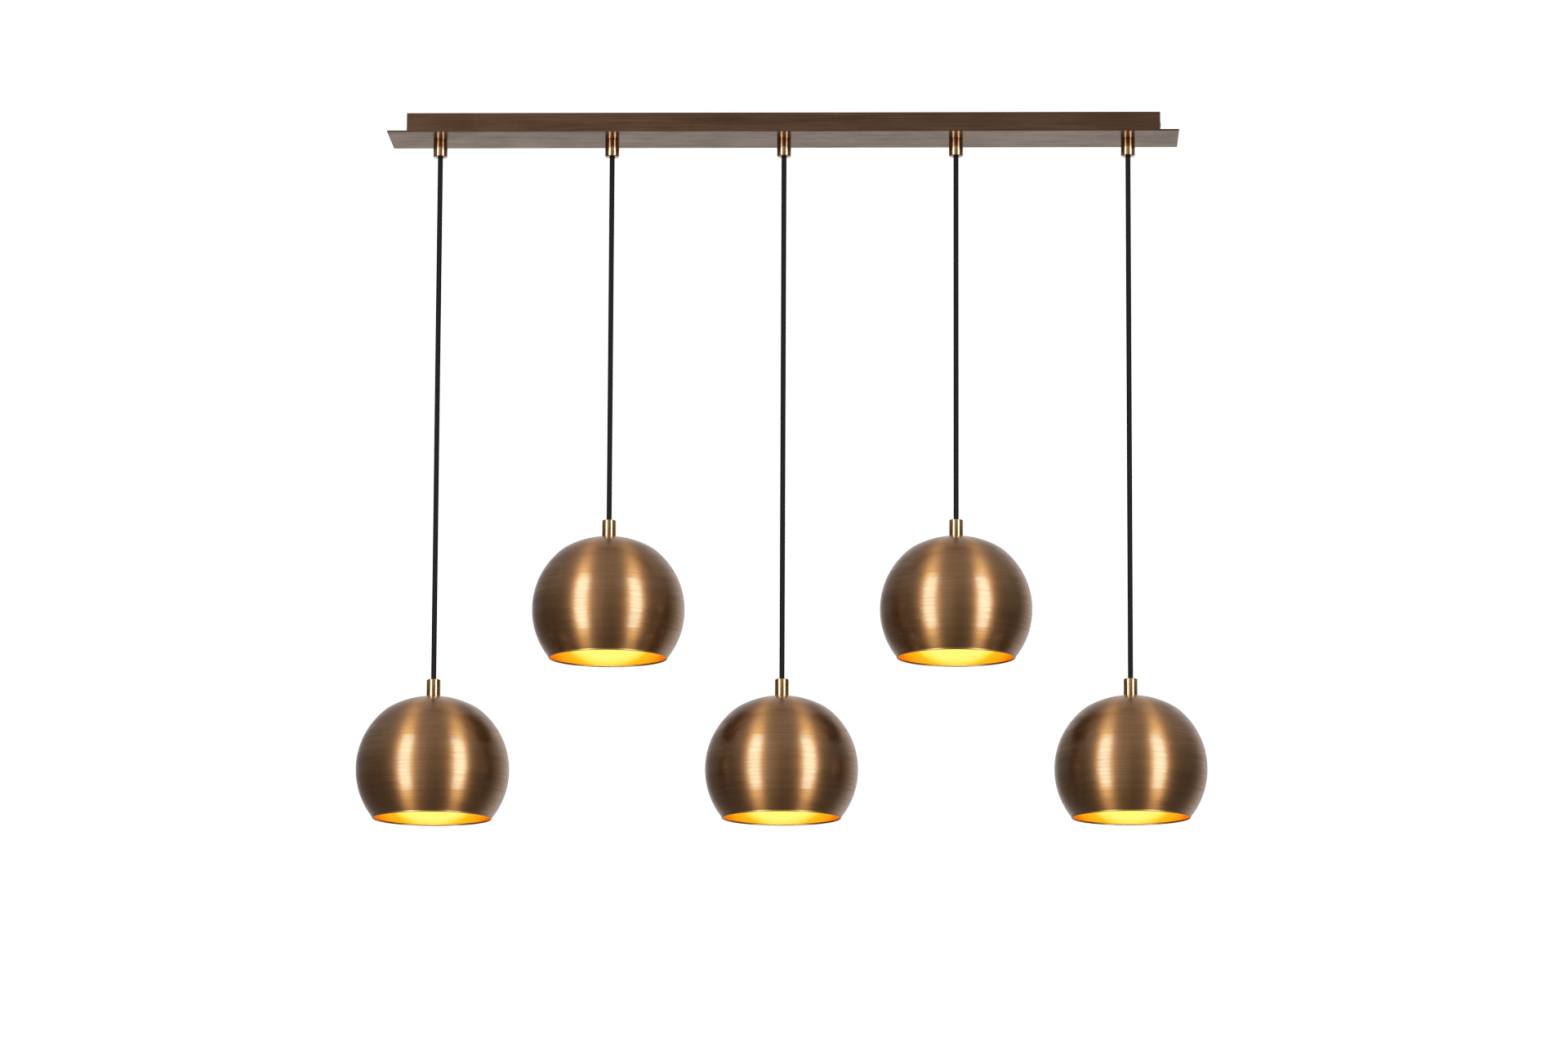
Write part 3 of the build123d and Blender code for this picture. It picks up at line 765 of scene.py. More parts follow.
@dataclass(frozen=True)
class Turned:
    """A piece turned about an upright axis, as on a lathe."""

    name: str
    node: str
    slot: str
    finish: Finish
    outline: Profile  # radii and heights; it closes on itself as a ring, or runs from pole to pole
    ring: bool = False
    corner: float = 0.25 * MM  # the rounding of its corners, less where a side is short
    turns: int = 96  # the steps round the axis
    straight: float = math.radians(12)  # the bend below which a corner isn't rounded
    most: float = 0.4  # of a side, that the rounding at either end may take

    def rounded(self) -> Profile:
        """Its outline with three points in place of each corner that is rounded."""
        corners = [Vector(p) for p in self.outline]
        result = []
        for i, corner in enumerate(corners):
            back, on = corners[i - 1] - corner, corners[(i + 1) % len(corners)] - corner
            cut = min(self.corner, self.most * back.length, self.most * on.length)
            is_end = not self.ring and i in (0, len(corners) - 1)
            if is_end or cut == 0 or abs(back.angle(on) - math.pi) < self.straight:
                result.append(self.outline[i])
                continue
            first, last = corner + back.normalized() * cut, corner + on.normalized() * cut
            result += [tuple(first), tuple((first + last + corner * 2) / 4), tuple(last)]
        return result

    def mesh(self, centres: list[Point]) -> bpy.types.Mesh:
        """Turns a copy about each centre, closed all round."""
        shape = bmesh.new()
        line = self.rounded()
        for x, y, z in centres:
            rows = []
            for radius, height in line:
                angles = [i * math.tau / self.turns for i in range(self.turns if radius > 0 else 1)]
                spots = [(x + radius * math.cos(a), y + radius * math.sin(a), z + height) for a in angles]
                rows.append([shape.verts.new(spot) for spot in spots])
            for low, high in list(zip(rows, rows[1:])) + ([(rows[-1], rows[0])] if self.ring else []):
                for i in range(self.turns):
                    ways = ((low, i), (low, i + 1), (high, i + 1), (high, i))
                    shape.faces.new(list(dict.fromkeys(row[step % len(row)] for row, step in ways)))
        bmesh.ops.recalc_face_normals(shape, faces=shape.faces)
        return as_mesh(shape, self.name)

    def add(self, body: str, centres: list[Point], number: str = "") -> bpy.types.Object:
        """Turns the piece and puts it in the scene.

        Args:
            body: the body that it rides on.
            centres: where each turned copy stands.
            number: what is added to its own name and to its solid's.

        Returns:
            the piece.
        """
        mesh = self.mesh(centres)
        return finished(mesh, self.name + number, body, self.node + number, self.finish)


def as_mesh(shape: bmesh.types.BMesh, name: str) -> bpy.types.Mesh:
    """A shape as a mesh."""
    mesh = bpy.data.meshes.new(name)
    shape.to_mesh(mesh)
    shape.free()
    return mesh


@dataclass(frozen=True)
class Notches:
    """Grooves or threads up an upright wall."""

    first: float  # the height of the first one over the wall's foot
    pitch: float
    count: int
    depth: float  # less than 0 for threads, which stand out
    rises: Ramp  # how much higher each one's four corners are

    def corners(self, radius: float, foot: float) -> Profile:
        """Their corners in a wall of this radius, with its foot at this height."""
        edges = list(zip((radius, radius - self.depth, radius - self.depth, radius), self.rises))
        levels = [foot + self.first + i * self.pitch for i in range(self.count)]
        return [(edge, level + rise) for level in levels for edge, rise in edges]


@dataclass(frozen=True)
class Cord:
    """A round cord along one smooth curve."""

    name: str
    node: str
    slot: str
    finish: Finish
    radius: float
    route: list[Point]  # the curve's control points

    def add(self, body: str, **told: object) -> None:
        """Puts the cord in the scene.

        Args:
            body: the body that it rides on.
            told: what is said of it; not used.
        """
        curve = bpy.data.curves.new(self.name, "CURVE")
        curve.dimensions = "3D"
        curve.bevel_depth = self.radius
        curve.bevel_resolution = 6
        curve.resolution_u = 16
        curve.use_fill_caps = True
        line = curve.splines.new("NURBS")
        line.points.add(len(self.route) - 1)
        for point, place in zip(line.points, self.route):
            point.co = (*place, 1)
        line.order_u = 3
        line.use_endpoint_u = True
        curve.materials.append(self.finish.material())
        cord = joined_in(in_scene(self.name, curve), body, self.node)
        2 * self.radius


MERGE = "GeometryNodeMergeByDistance"
SEAM = 0.005 * MM  # points nearer than this are one


@dataclass(frozen=True)
class Shell:
    """A grid to be rolled up into a closed shell of two walls round an upright axis."""

    graph: Graph
    grid: Term
    angle: Term  # round the axis
    inner: Term  # 0 on the outer and 1 on the inner wall
    along: Term  # the way along a wall, from 0 to 1

    @classmethod
    def of(cls, graph: Graph, turns: Term, rows: Term) -> "Shell":
        """Lays out the grid.

        Args:
            graph: the geometry tree's graph.
            turns: the steps round the axis.
            rows: the rows of points on each wall.

        Returns:
            the shell.
        """
        sizes = {"Size X": 1.0, "Size Y": 1.0, "Vertices X": turns + 1.0, "Vertices Y": rows * 2.0 + 1.0}
        x, y, _ = graph.term("GeometryNodeInputPosition").split()
        step = ((y + 0.5) * rows * 2.0).do("ROUND").do("FLOORED_MODULO", rows * 2.0)
        inner = step.do("GREATER_THAN", rows - 0.5)
        there = step + inner * (rows * 2.0 - 1.0 - step * 2.0)
        grid = graph.term("GeometryNodeMeshGrid", sizes, "Mesh")
        return cls(graph, grid, (x + 0.5) * math.tau, inner, there / (rows - 1.0))

    def rolled_up(self, radius: Term, height: Term) -> Term:
        """Rolls it up and closes its seams, with its faces outward."""
        place = self.graph.vector(radius * self.angle.cosine(), radius * self.angle.sine(), height)
        moved = self.graph.term("GeometryNodeSetPosition", {"Geometry": self.grid, "Position": place})
        seams = {"Geometry": moved, "Distance": SEAM}
        return self.graph.term("GeometryNodeFlipFaces", {"Mesh": self.graph.term(MERGE, seams)})


def coated(graph: Graph, piece: Term, metal: Term, **where: Term) -> Term:
    """Gives a piece a material, all over or where it is told."""
    inputs = {"Geometry": piece, "Material": metal} | {label(key): value for key, value in where.items()}
    return graph.term("GeometryNodeSetMaterial", inputs)


@dataclass(frozen=True)
class Shape:
    """A shape made by a geometry tree, whose inputs are the shape's own fields."""

    turns: int = 96
    rows: int = 12

    def nodes(self, graph: Graph, takes: SimpleNamespace) -> dict[str, Term]:
        """Adds the tree's nodes.

        Args:
            graph: the tree's graph.
            takes: its inputs.

        Returns:
            the shape's mesh.
        """
        raise NotImplementedError

    def baked(self, name: str) -> bpy.types.Mesh:
        """Runs the tree once and keeps its result as a plain mesh of this name."""
        values = {item.name: getattr(self, item.name) for item in fields(self)}
        values = {key: v.material() if isinstance(v, Finish) else v for key, v in values.items()}
        carrier = in_scene(name, bpy.data.meshes.new(name + "_start"))
        modifier = carrier.modifiers.new(name, "NODES")
        modifier.node_group = group("GeometryNodeTree", type(self).__name__, values, self.nodes)
        for item in modifier.node_group.interface.items_tree:
            for key, value in values.items():
                if item.in_out == "INPUT" and item.name == label(key):
                    modifier[item.identifier] = value
        ready = carrier.evaluated_get(bpy.context.evaluated_depsgraph_get())
        mesh = bpy.data.meshes.new_from_object(ready)
        carrier.modifiers.clear()
        bpy.data.objects.remove(carrier)
        mesh.name = name
        return mesh


@dataclass(frozen=True)
class Hardware(Shape):
    """A hollow zinc plated piece, one at every place along the bar."""

    bore: float = THREAD_BORE
    bottom: float = 0.0
    top: float = 0.0
    spacing: float = LAYOUT.pitch
    count: int = LAYOUT.count
    metal: Finish = ZINC

    def outside(self, takes: SimpleNamespace, shell: Shell, height: Term) -> Term:
        """The radius of its outer wall.

        Args:
            takes: the tree's inputs.
            shell: the shell.
            height: the height of each of the shell's points.

        Returns:
            the radius.
        """
        raise NotImplementedError

    def nodes(self, graph: Graph, takes: SimpleNamespace) -> dict[str, Term]:
        """Rolls up one piece and sets a real copy at every place."""
        shell = Shell.of(graph, takes.turns, takes.rows)
        height = takes.top + (takes.bottom - takes.top) * shell.along
        outer = self.outside(takes, shell, height)
        piece = shell.rolled_up(outer + shell.inner * (takes.bore - outer), height)
        first = graph.vector(takes.spacing * (takes.count - 1.0) * -0.5)
        line = {"Count": takes.count, "Start Location": first, "Offset": graph.vector(takes.spacing)}
        places = graph.term("GeometryNodeMeshLine", line)
        copies = graph.term("GeometryNodeInstanceOnPoints", {"Points": places, "Instance": piece})
        real = graph.term("GeometryNodeRealizeInstances", {"Geometry": copies})
        return {"mesh": coated(graph, real, takes.metal)}

    def add(self, name: str, node: str) -> None:
        """Makes all five."""
        finished(self.baked(name), name, "bar", node)


@dataclass(frozen=True)
class ThreadedTube(Hardware):
    """A tube with a thread that climbs round its outside."""

    radius: float = 5 * MM
    thread_pitch: float = 1 * MM
    thread_depth: float = 0.45 * MM

    def outside(self, takes: SimpleNamespace, shell: Shell, height: Term) -> Term:
        """The radius less the thread's groove."""
        climb = height / takes.thread_pitch - shell.angle * (1 / math.tau)
        return takes.radius - climb.do("PINGPONG", 0.5) * 2.0 * takes.thread_depth


@dataclass(frozen=True)
class LockNut(Hardware):
    """A hexagonal nut, chamfered at both ends."""

    flats: float = 14 * MM
    bearing: float = 0.485  # the radius of its round end faces, as a share of the flats
    chamfer_slope: float = 1.7

    def outside(self, takes: SimpleNamespace, shell: Shell, height: Term) -> Term:
        """The hexagon, cut by a cone at each end."""
        half_side = math.pi / 6
        face = (shell.angle + half_side).do("FLOORED_MODULO", 2 * half_side) - half_side
        from_end = shell.along.do("PINGPONG", 0.5) * (takes.top - takes.bottom)
        cone = takes.flats * takes.bearing + from_end * takes.chamfer_slope
        return (takes.flats * 0.5 / face.cosine()).do("MINIMUM", cone)


@dataclass(frozen=True)
class SpunBall(Shape):
    """A ball drawn from one sheet over a flatter crown, its rim rolled into a bead."""

    turns: int = 160
    rows: int = 64
    ball_radius: float = 90 * MM
    wall: float = 0.8 * MM
    crown_radius: float = 105 * MM
    crown_centre: float = -17.9 * MM
    crown_top: float = 86.71 * MM
    hole_radius: float = THREAD_BORE
    rim_depth: float = 57 * MM
    shoulder_blend: float = 1.2 * MM
    bead_place: float = 69.13 * MM
    bead_radius: float = 1.2 * MM
    bead_steps: int = 16
    middle: Point = (0.0, 0.0, 0.0)
    outside: Finish = SPUN_BRASS
    inside: Finish = LINING
    rim: Finish = RIM_BRASS

    def wall_rule(self, takes: SimpleNamespace, shell: Shell) -> tuple[Term, Term]:
        """The radius and height of each point of the sheet's two faces."""
        inset = shell.inner * takes.wall
        ball, crown = takes.ball_radius - inset, takes.crown_radius - inset
        top = takes.crown_top - inset
        first = (takes.hole_radius / top).do("ARCTANGENT")
        last = (takes.rim_depth * -1.0 / ball).do("ARCCOSINE")
        slant = first + (last - first) * shell.along
        off_centre = takes.crown_centre * slant.sine()
        reach = (crown * crown - off_centre * off_centre).do("SQRT") + takes.crown_centre * slant.cosine()
        distance = ball.do("SMOOTH_MIN", reach, takes.shoulder_blend)
        return distance * slant.sine(), (distance * slant.cosine()).do("MINIMUM", top)

    def bead(self, graph: Graph, takes: SimpleNamespace) -> Term:
        """The rolled rim, a round ring."""
        circles = []
        for steps, radius in ((takes.turns, takes.bead_place), (takes.bead_steps, takes.bead_radius)):
            sizes = {"Resolution": steps, "Radius": radius}
            circles.append(graph.term("GeometryNodeCurvePrimitiveCircle", sizes, "Curve"))
        ring = graph.term("GeometryNodeCurveToMesh", {"Curve": circles[0], "Profile Curve": circles[1]})
        down = graph.vector(z=takes.rim_depth * -1.0)
        lowered = graph.term("GeometryNodeTransform", {"Geometry": ring, "Translation": down})
        return coated(graph, lowered, takes.rim)

    def nodes(self, graph: Graph, takes: SimpleNamespace) -> dict[str, Term]:
        """Rolls up the sheet, brass outside and lined inside, and adds the rim."""
        shell = Shell.of(graph, takes.turns, takes.rows)
        outside = coated(graph, shell.grid, takes.outside)
        shell = replace(shell, grid=coated(graph, outside, takes.inside, selection=shell.inner))
        ball = shell.rolled_up(*self.wall_rule(takes, shell))
        both = graph.add("GeometryNodeJoinGeometry")
        for piece in (ball, self.bead(graph, takes)):
            graph.feed(both.inputs[0], piece)
        placed = {"Geometry": Term(graph, both.outputs[0]), "Translation": takes.middle}
        moved = graph.term("GeometryNodeTransform", placed)
        return {"mesh": graph.term("GeometryNodeRealizeInstances", {"Geometry": moved})}


# The lamp


@dataclass(frozen=True)
class Bar:
    """The plate and the channel under the ceiling, with what holds them and the cords' exits."""

    channel_end: float = 448 * MM
    screw_level: float = -9 * MM
    head_radius: float = 4 * MM
    head_height: float = 1.4 * MM
    head_steps: int = 28
    head_drop: tuple[float, float] = (0.62, 3.2)  # of its dome to the edge, and how late it comes
    shank_radius: float = 2 * MM
    shank_length: float = 8 * MM
    recess_reach: float = 2.1 * MM
    recess_width: float = 0.9 * MM
    recess_depth: float = 0.8 * MM
    recess_rise: float = 0.6  # of its floor, at its ends
    nut_bottom: float = -21.8 * MM
    nut_top: float = -18.8 * MM
    nipple_bore: float = 3.6 * MM
    nipple_bottom: float = -36 * MM
    grip_radius: float = 8.5 * MM
    grip_height: float = 21 * MM
    grip_chamfer: float = 0.8 * MM
    grip_floor: float = 5 * MM
    mouth_chamfer: float = 0.3 * MM
    held_bottom: float = -45.05 * MM

    def screw(self) -> Turned:
        """A screw with a domed head, standing upright."""
        drop, lateness = self.head_drop
        shares = [i / self.head_steps for i in range(self.head_steps + 1)]
        dome = [(self.head_radius * s, self.head_height * (1 - drop * s**lateness)) for s in shares]
        tip = -self.shank_length
        shank = [(self.head_radius, 0.0), (self.shank_radius, 0.0), (self.shank_radius, tip), (0.0, tip)]
        names = ("domed_end_screws", "end_screws", "turned_brass")
        return Turned(*names, SCREW_BRONZE, dome + shank, corner=0.15 * MM)

    def press_recess(self, screw: bpy.types.Mesh) -> None:
        """Presses a cross into a screw's head."""
        for vertex in screw.vertices:
            near, far = sorted((abs(vertex.co.x), abs(vertex.co.y)))
            if vertex.co.z > 0 and near < self.recess_width / 2 and far < self.recess_reach:
                vertex.co.z -= self.recess_depth * (1 - self.recess_rise * far / self.recess_reach)

    def add_screws(self) -> None:
        """Sets a screw in each end of the channel."""
        screw, both = self.screw(), bmesh.new()
        for side in (-1, 1):
            mesh = screw.mesh([(0.0, 0.0, 0.0)])
            self.press_recess(mesh)
            mesh.transform(Euler((0, side * math.pi / 2, 0)).to_matrix().to_4x4())
            mesh.transform(Matrix.Translation((side * self.channel_end, 0, self.screw_level)))
            both.from_mesh(mesh)
        finished(as_mesh(both, screw.name), screw.name, "bar", screw.node, screw.finish)

    def add_grips(self) -> None:
        """Turns the cords' grips and the pieces of cord that they hold."""
        outline = [
            (CORD_BORE, self.mouth_chamfer),
            (CORD_BORE + self.mouth_chamfer, 0.0),
            (self.grip_radius - self.grip_chamfer, 0.0),
            (self.grip_radius, self.grip_chamfer),
            (self.grip_radius, self.grip_height),
            (THREAD_BORE, self.grip_height),
            (THREAD_BORE, self.grip_floor),
            (CORD_BORE, self.grip_floor),
        ]
        grips = Turned("turned_grips", "cord_grips", "turned_brass", GRIP_BRASS, outline, ring=True)
        grips.add("bar", LAYOUT.axes(LAYOUT.grip_bottom))
        length, radius = LAYOUT.flex_start - self.held_bottom, LAYOUT.cord_radius
        line = [(0.0, 0.0), (radius, 0.0), (radius, length), (0.0, length)]
        names = ("sleeved_cord_ends", "held_cords", "black_textile")
        Turned(*names, SLEEVE, line, corner=0.3 * MM, turns=48).add("bar", LAYOUT.axes(self.held_bottom))

    def build(self) -> None:
        """Dresses the solids and adds screws, grips, nipples and nuts."""
        dressed(BAR_BRONZE, "bar_plate", "canopy_channel")
        dressed(ZINC, "mounting_bracket", "lock_washers")
        dressed(BLACK_PLASTIC, "grip_collets")
        self.add_screws()
        self.add_grips()
        tube = ThreadedTube(48, 90, self.nipple_bore, self.nipple_bottom, LAYOUT.nipple_top)
        tube.add("threaded_nipples", "bar_nipples")
        LockNut(bottom=self.nut_bottom, top=self.nut_top).add("chamfered_nuts", "lock_nuts")


@dataclass(frozen=True)
class WiringBox:
    """The box inside the channel with its terminals, and the flexes that run to it."""

    middle: float = 102.5 * MM
    length: float = 80 * MM
    block_middle: float = 88.5 * MM
    block_reach: float = 6 * MM
    hole_level: float = -17.9 * MM
    pole_pitch: float = 12.5 * MM
    lanes: tuple[int, ...] = (1, -1, 0, -1, 1)
    flex_radius: float = 2 * MM
    crest: float = -3.8 * MM
    floor: float = -20.5 * MM
    rise_run: float = 25 * MM
    fall_run: float = 28 * MM
    climb_run: float = 24 * MM
    swing_share: float = 0.45
    lengths: tuple[float, ...] = (0.5095, 0.3045, 0.0970, 0.1263, 0.3325)

    def route(self, x: float, lane: float) -> list[Point]:
        """One flex's way from its nipple's mouth into the terminal block.

        Args:
            x: the nipple's place along the bar.
            lane: the flex's distance from the bar's middle line.

        Returns:
            the points that its curve runs by.
        """
        way = 1 if x < self.middle else -1
        mouth = self.middle - way * self.length / 2
        fallen = x + way * (self.rise_run + self.fall_run)
        risen = (x + way * self.rise_run, self.swing_share * lane, self.crest)
        points = [(x, 0.0, LAYOUT.flex_start), (x, 0.0, self.crest), risen]
        if abs(mouth - fallen) > self.climb_run:
            foot = mouth - way * self.climb_run
            points += [(fallen, lane, self.floor), (foot, lane, self.floor), (mouth, lane, self.hole_level)]
        else:
            points += [(fallen, lane, self.hole_level)]
        return points + [(self.block_middle - way * self.block_reach, lane, self.hole_level)]

    def build(self) -> None:
        """Dresses the box and lays the five flexes."""
        dressed(WHITE_PLASTIC, "wiring_box", "box_lid")
        dressed(CLEAR_PLASTIC, "terminal_block")
        dressed(ZINC, "terminal_screws")
        for (number, x), lane, length in zip(LAYOUT.places().items(), self.lanes, self.lengths):
            route = self.route(x, lane * self.pole_pitch)
            names = (f"flex_{number}", "inner_flexes", "black_sheath")
            flex = Cord(*names, BLACK_SHEATH, self.flex_radius, route)
            flex.add("bar", exit=route[0], length=length, lay="loose")


@dataclass(frozen=True)
class Lamp:
    """The lampholder and the bulb inside a ball, as outlines below the crown."""

    cap_radius: float = 14 * MM
    boss_radius: float = 8.5 * MM
    boss_height: float = 3 * MM
    cap_height: float = 20 * MM
    tail: float = 10 * MM
    wall: float = 2 * MM
    shoulder_steps: int = 9
    rings: Notches = Notches(3.4 * MM, -1.8 * MM, 2, 0.35 * MM, (0.4 * MM, 0.15 * MM, -0.15 * MM, -0.4 * MM))
    body_height: float = 38 * MM
    spigot: float = 4 * MM
    step_height: float = 9 * MM
    step_inset: float = 1.5 * MM
    step_slope: float = 0.6 * MM
    socket_radius: float = 7.5 * MM
    socket_depth: float = 23.3 * MM
    grooves: Notches = Notches(3 * MM, 3.6 * MM, 6, 0.5 * MM, (0.0, 0.5 * MM, 1.3 * MM, 1.8 * MM))
    shown: float = 2 * MM
    bulb_radius: float = 22.5 * MM
    bulb_length: float = 54 * MM
    bulb_steps: int = 26
    waist: float = 13 * MM
    neck_radius: float = 8.4 * MM
    neck_steps: int = 10
    neck_flare: float = 0.6 * MM
    thread_root: float = 6.3 * MM
    thread: Notches = Notches(3.4 * MM, 2.8 * MM, 5, -0.5 * MM, (0.0, 0.9 * MM, 1.4 * MM, 2.3 * MM))
    flare: tuple[float, float] = (0.8 * MM, 2.6 * MM)  # from where to where it narrows
    end_chamfer: tuple[float, float] = (0.5 * MM, 2 * MM)
    cap_length: float = 22 * MM
    contact_radius: float = 3 * MM
    contact_height: float = 3 * MM

    def cap_outline(self) -> Profile:
        """The domed cap, round from its bore: a quarter-round shoulder and two fine rings."""
        drop, foot = self.cap_radius - self.boss_radius, -self.boss_height
        angles = [math.pi / 2 * i / self.shoulder_steps for i in range(self.shoulder_steps + 1)]
        arc = [(self.boss_radius + drop * math.sin(a), foot - drop * (1 - math.cos(a))) for a in angles]
        low, radius, inside = -self.cap_height, self.cap_radius, self.cap_radius - self.wall
        under = [(radius, low), (inside, low), (inside, -self.tail), (THREAD_BORE, -self.tail)]
        return [(THREAD_BORE, 0.0), (self.boss_radius, 0.0)] + arc + self.rings.corners(radius, low) + under

    def holder_outline(self) -> Profile:
        """The body: down the socket's wall and up the outside, with finger grooves above its step."""
        top, wide = -self.cap_height, self.cap_radius
        low = top - self.body_height
        shoulder, thin = low + self.step_height, wide - self.step_inset
        ceiling = low + self.socket_depth
        spigot = wide - self.wall - CLEARANCE
        socket = [(0.0, ceiling), (self.socket_radius, ceiling), (self.socket_radius, low)]
        step = [(thin, low), (thin, shoulder - self.step_slope), (wide, shoulder)]
        peg = [(wide, top), (spigot, top), (spigot, top + self.spigot), (0.0, top + self.spigot)]
        return socket + step + self.grooves.corners(wide, shoulder) + peg

    def bulb_cap_outline(self) -> Profile:
        """The bulb's screw cap above the glass: a flare, five turns of thread and the contact."""
        root, end, tip = self.thread_root, self.cap_length, self.contact_radius
        narrows, narrowed = self.flare
        inset, rise = self.end_chamfer
        top = end + self.contact_height
        return (
            [(0.0, 0.0), (self.neck_radius, 0.0), (self.neck_radius, narrows), (root, narrowed)]
            + self.thread.corners(root, 0.0)
            + [(root - inset, end - rise), (tip + 2 * inset, end), (tip, end), (tip, top), (0.0, top)]
        )

    def bulb_outline(self) -> Profile:
        """The glass below its neck: a ball drawn in to the cap."""
        radius, centre = self.bulb_radius, self.bulb_radius - self.bulb_length
        waist = math.asin(self.waist / radius)
        line = [(0.0, centre - radius)]
        for i in range(1, self.bulb_steps + 1):
            angle = -math.pi / 2 + (math.pi / 2 + waist) * i / self.bulb_steps
            line.append((max(0.0, radius * math.cos(angle)), centre + radius * math.sin(angle)))
        start, end = Vector(line[-1]), Vector((self.neck_radius, 0.0))
        run = (start.x - self.neck_radius - self.neck_flare) / math.sin(waist)
        bend = start + Vector((-math.sin(waist), math.cos(waist))) * run
        for i in range(1, self.neck_steps + 1):
            t = i / self.neck_steps
            line.append(tuple(start * (1 - t) ** 2 + bend * 2 * t * (1 - t) + end * t * t))
        return line + [(0.0, 0.0)]


@dataclass(frozen=True)
class Pendant:
    """One ball on its cord, with all that hangs with it."""

    number: int
    ball: SpunBall
    lamp: Lamp = Lamp()
    collar_radius: float = 8.25 * MM
    collar_height: float = 20.5 * MM
    collar_chamfer: float = 0.9 * MM
    collar_thread: float = 12 * MM
    mouth_chamfer: float = 0.3 * MM
    crown_tail: float = 10 * MM  # of the cord, below the crown's underside
    cord_start: float = 0.4 * MM  # below the pivot
    bend_steps: int = 12

    @property
    def place(self) -> float:
        """Its place along the bar."""
        return LAYOUT.places()[self.number]

    @property
    def crown(self) -> float:
        """The height of its crown's seat."""
        return LAYOUT.ball_centre(self.number) + self.ball.crown_top

    def hang(self, piece: Turned, height: float, body: str = "pendant") -> bpy.types.Object:
        """Adds a turned piece on the pendant's axis, at this height, with the pendant's number."""
        number = f"_{self.number}"
        return piece.add(body + number, [(self.place, 0.0, height)], number)

    def add_cord(self) -> None:
        """The sleeved cord, and the ball of sleeve at the point about which it swings."""
        radius, name = LAYOUT.cord_radius, f"sleeved_cord_{self.number}"
        angles = [math.pi * i / self.bend_steps for i in range(1, self.bend_steps)]
        arc = [(radius * math.sin(a), -radius * math.cos(a)) for a in angles]
        arc = [(0.0, -radius)] + arc + [(0.0, radius)]
        bend = Turned("sleeve_bend", "cord_bend", "black_textile", SLEEVE, arc, corner=0.0, turns=32)
        ball = self.hang(bend, LAYOUT.pivot, "bend")
        top = LAYOUT.pivot - self.cord_start
        bottom = self.crown - self.ball.wall - self.crown_tail
        straight = 12 * radius
        route = [(self.place, 0.0, height) for height in (top, top - straight, bottom + straight, bottom)]
        cord = Cord(name, f"cord_{self.number}", "black_textile", SLEEVE, radius, route)
        leaves = (self.place, 0.0, LAYOUT.pivot)
        cord.add(f"pendant_{self.number}", exit=leaves, length=top - bottom, lay="taut", with_pieces=[ball])

    def add_collar(self) -> None:
        """The turned collar that sits on the crown."""
        top, radius, thread = self.collar_height, self.collar_radius, self.collar_thread
        outline = [
            (CORD_BORE, top - self.mouth_chamfer),
            (CORD_BORE, thread),
            (THREAD_BORE, thread),
            (THREAD_BORE, 0.0),
            (radius, 0.0),
            (radius, top - self.collar_chamfer),
            (radius - self.collar_chamfer, top),
            (CORD_BORE + self.mouth_chamfer, top),
        ]
        collar = Turned("turned_collar", "collar", "turned_brass", COLLAR_BRASS, outline, ring=True)
        self.hang(collar, self.crown)

    def add_lamp(self, shade: bpy.types.Object) -> None:
        """The lampholder, the bulb's cap and the lit bulb, which lights its own ball alone."""
        lamp, under = self.lamp, self.crown - self.ball.wall
        cap = ("domed_holder_cap", "holder_cap", "black_plastic", BLACK_PLASTIC, lamp.cap_outline())
        cap = self.hang(Turned(*cap, ring=True, corner=0.3 * MM, turns=72), under)
        holder = ("grooved_lampholder", "lampholder", "black_plastic", BLACK_PLASTIC, lamp.holder_outline())
        holder = self.hang(Turned(*holder, corner=0.3 * MM, turns=72), under)
        glass_top = under - lamp.cap_height - lamp.body_height - lamp.shown
        screw = ("threaded_bulb_cap", "bulb_cap", "nickel", NICKEL, lamp.bulb_cap_outline())
        self.hang(Turned(*screw, corner=0.1 * MM, turns=48), glass_top)
        bulb = ("opal_bulb", "bulb", "bulb_glass", OPAL, lamp.bulb_outline())
        bulb = self.hang(Turned(*bulb, corner=0.0, turns=72), glass_top)
        lit = bpy.data.collections.new(f"lit_by_bulb_{self.number}")
        for piece in (shade, cap, holder):
            lit.objects.link(piece)
        bulb.light_linking.receiver_collection = lit
        dressed(ZINC, f"shade_nipple_{self.number}")

    def build(self) -> None:
        """Makes the whole pendant."""
        self.add_cord()
        self.add_collar()
        ball = replace(self.ball, middle=(self.place, 0.0, LAYOUT.ball_centre(self.number)))
        name, body, node = (f"{part}_{self.number}" for part in ("spun_ball", "pendant", "shade"))
        self.add_lamp(finished(ball.baked(name), name, body, node))


# The studio


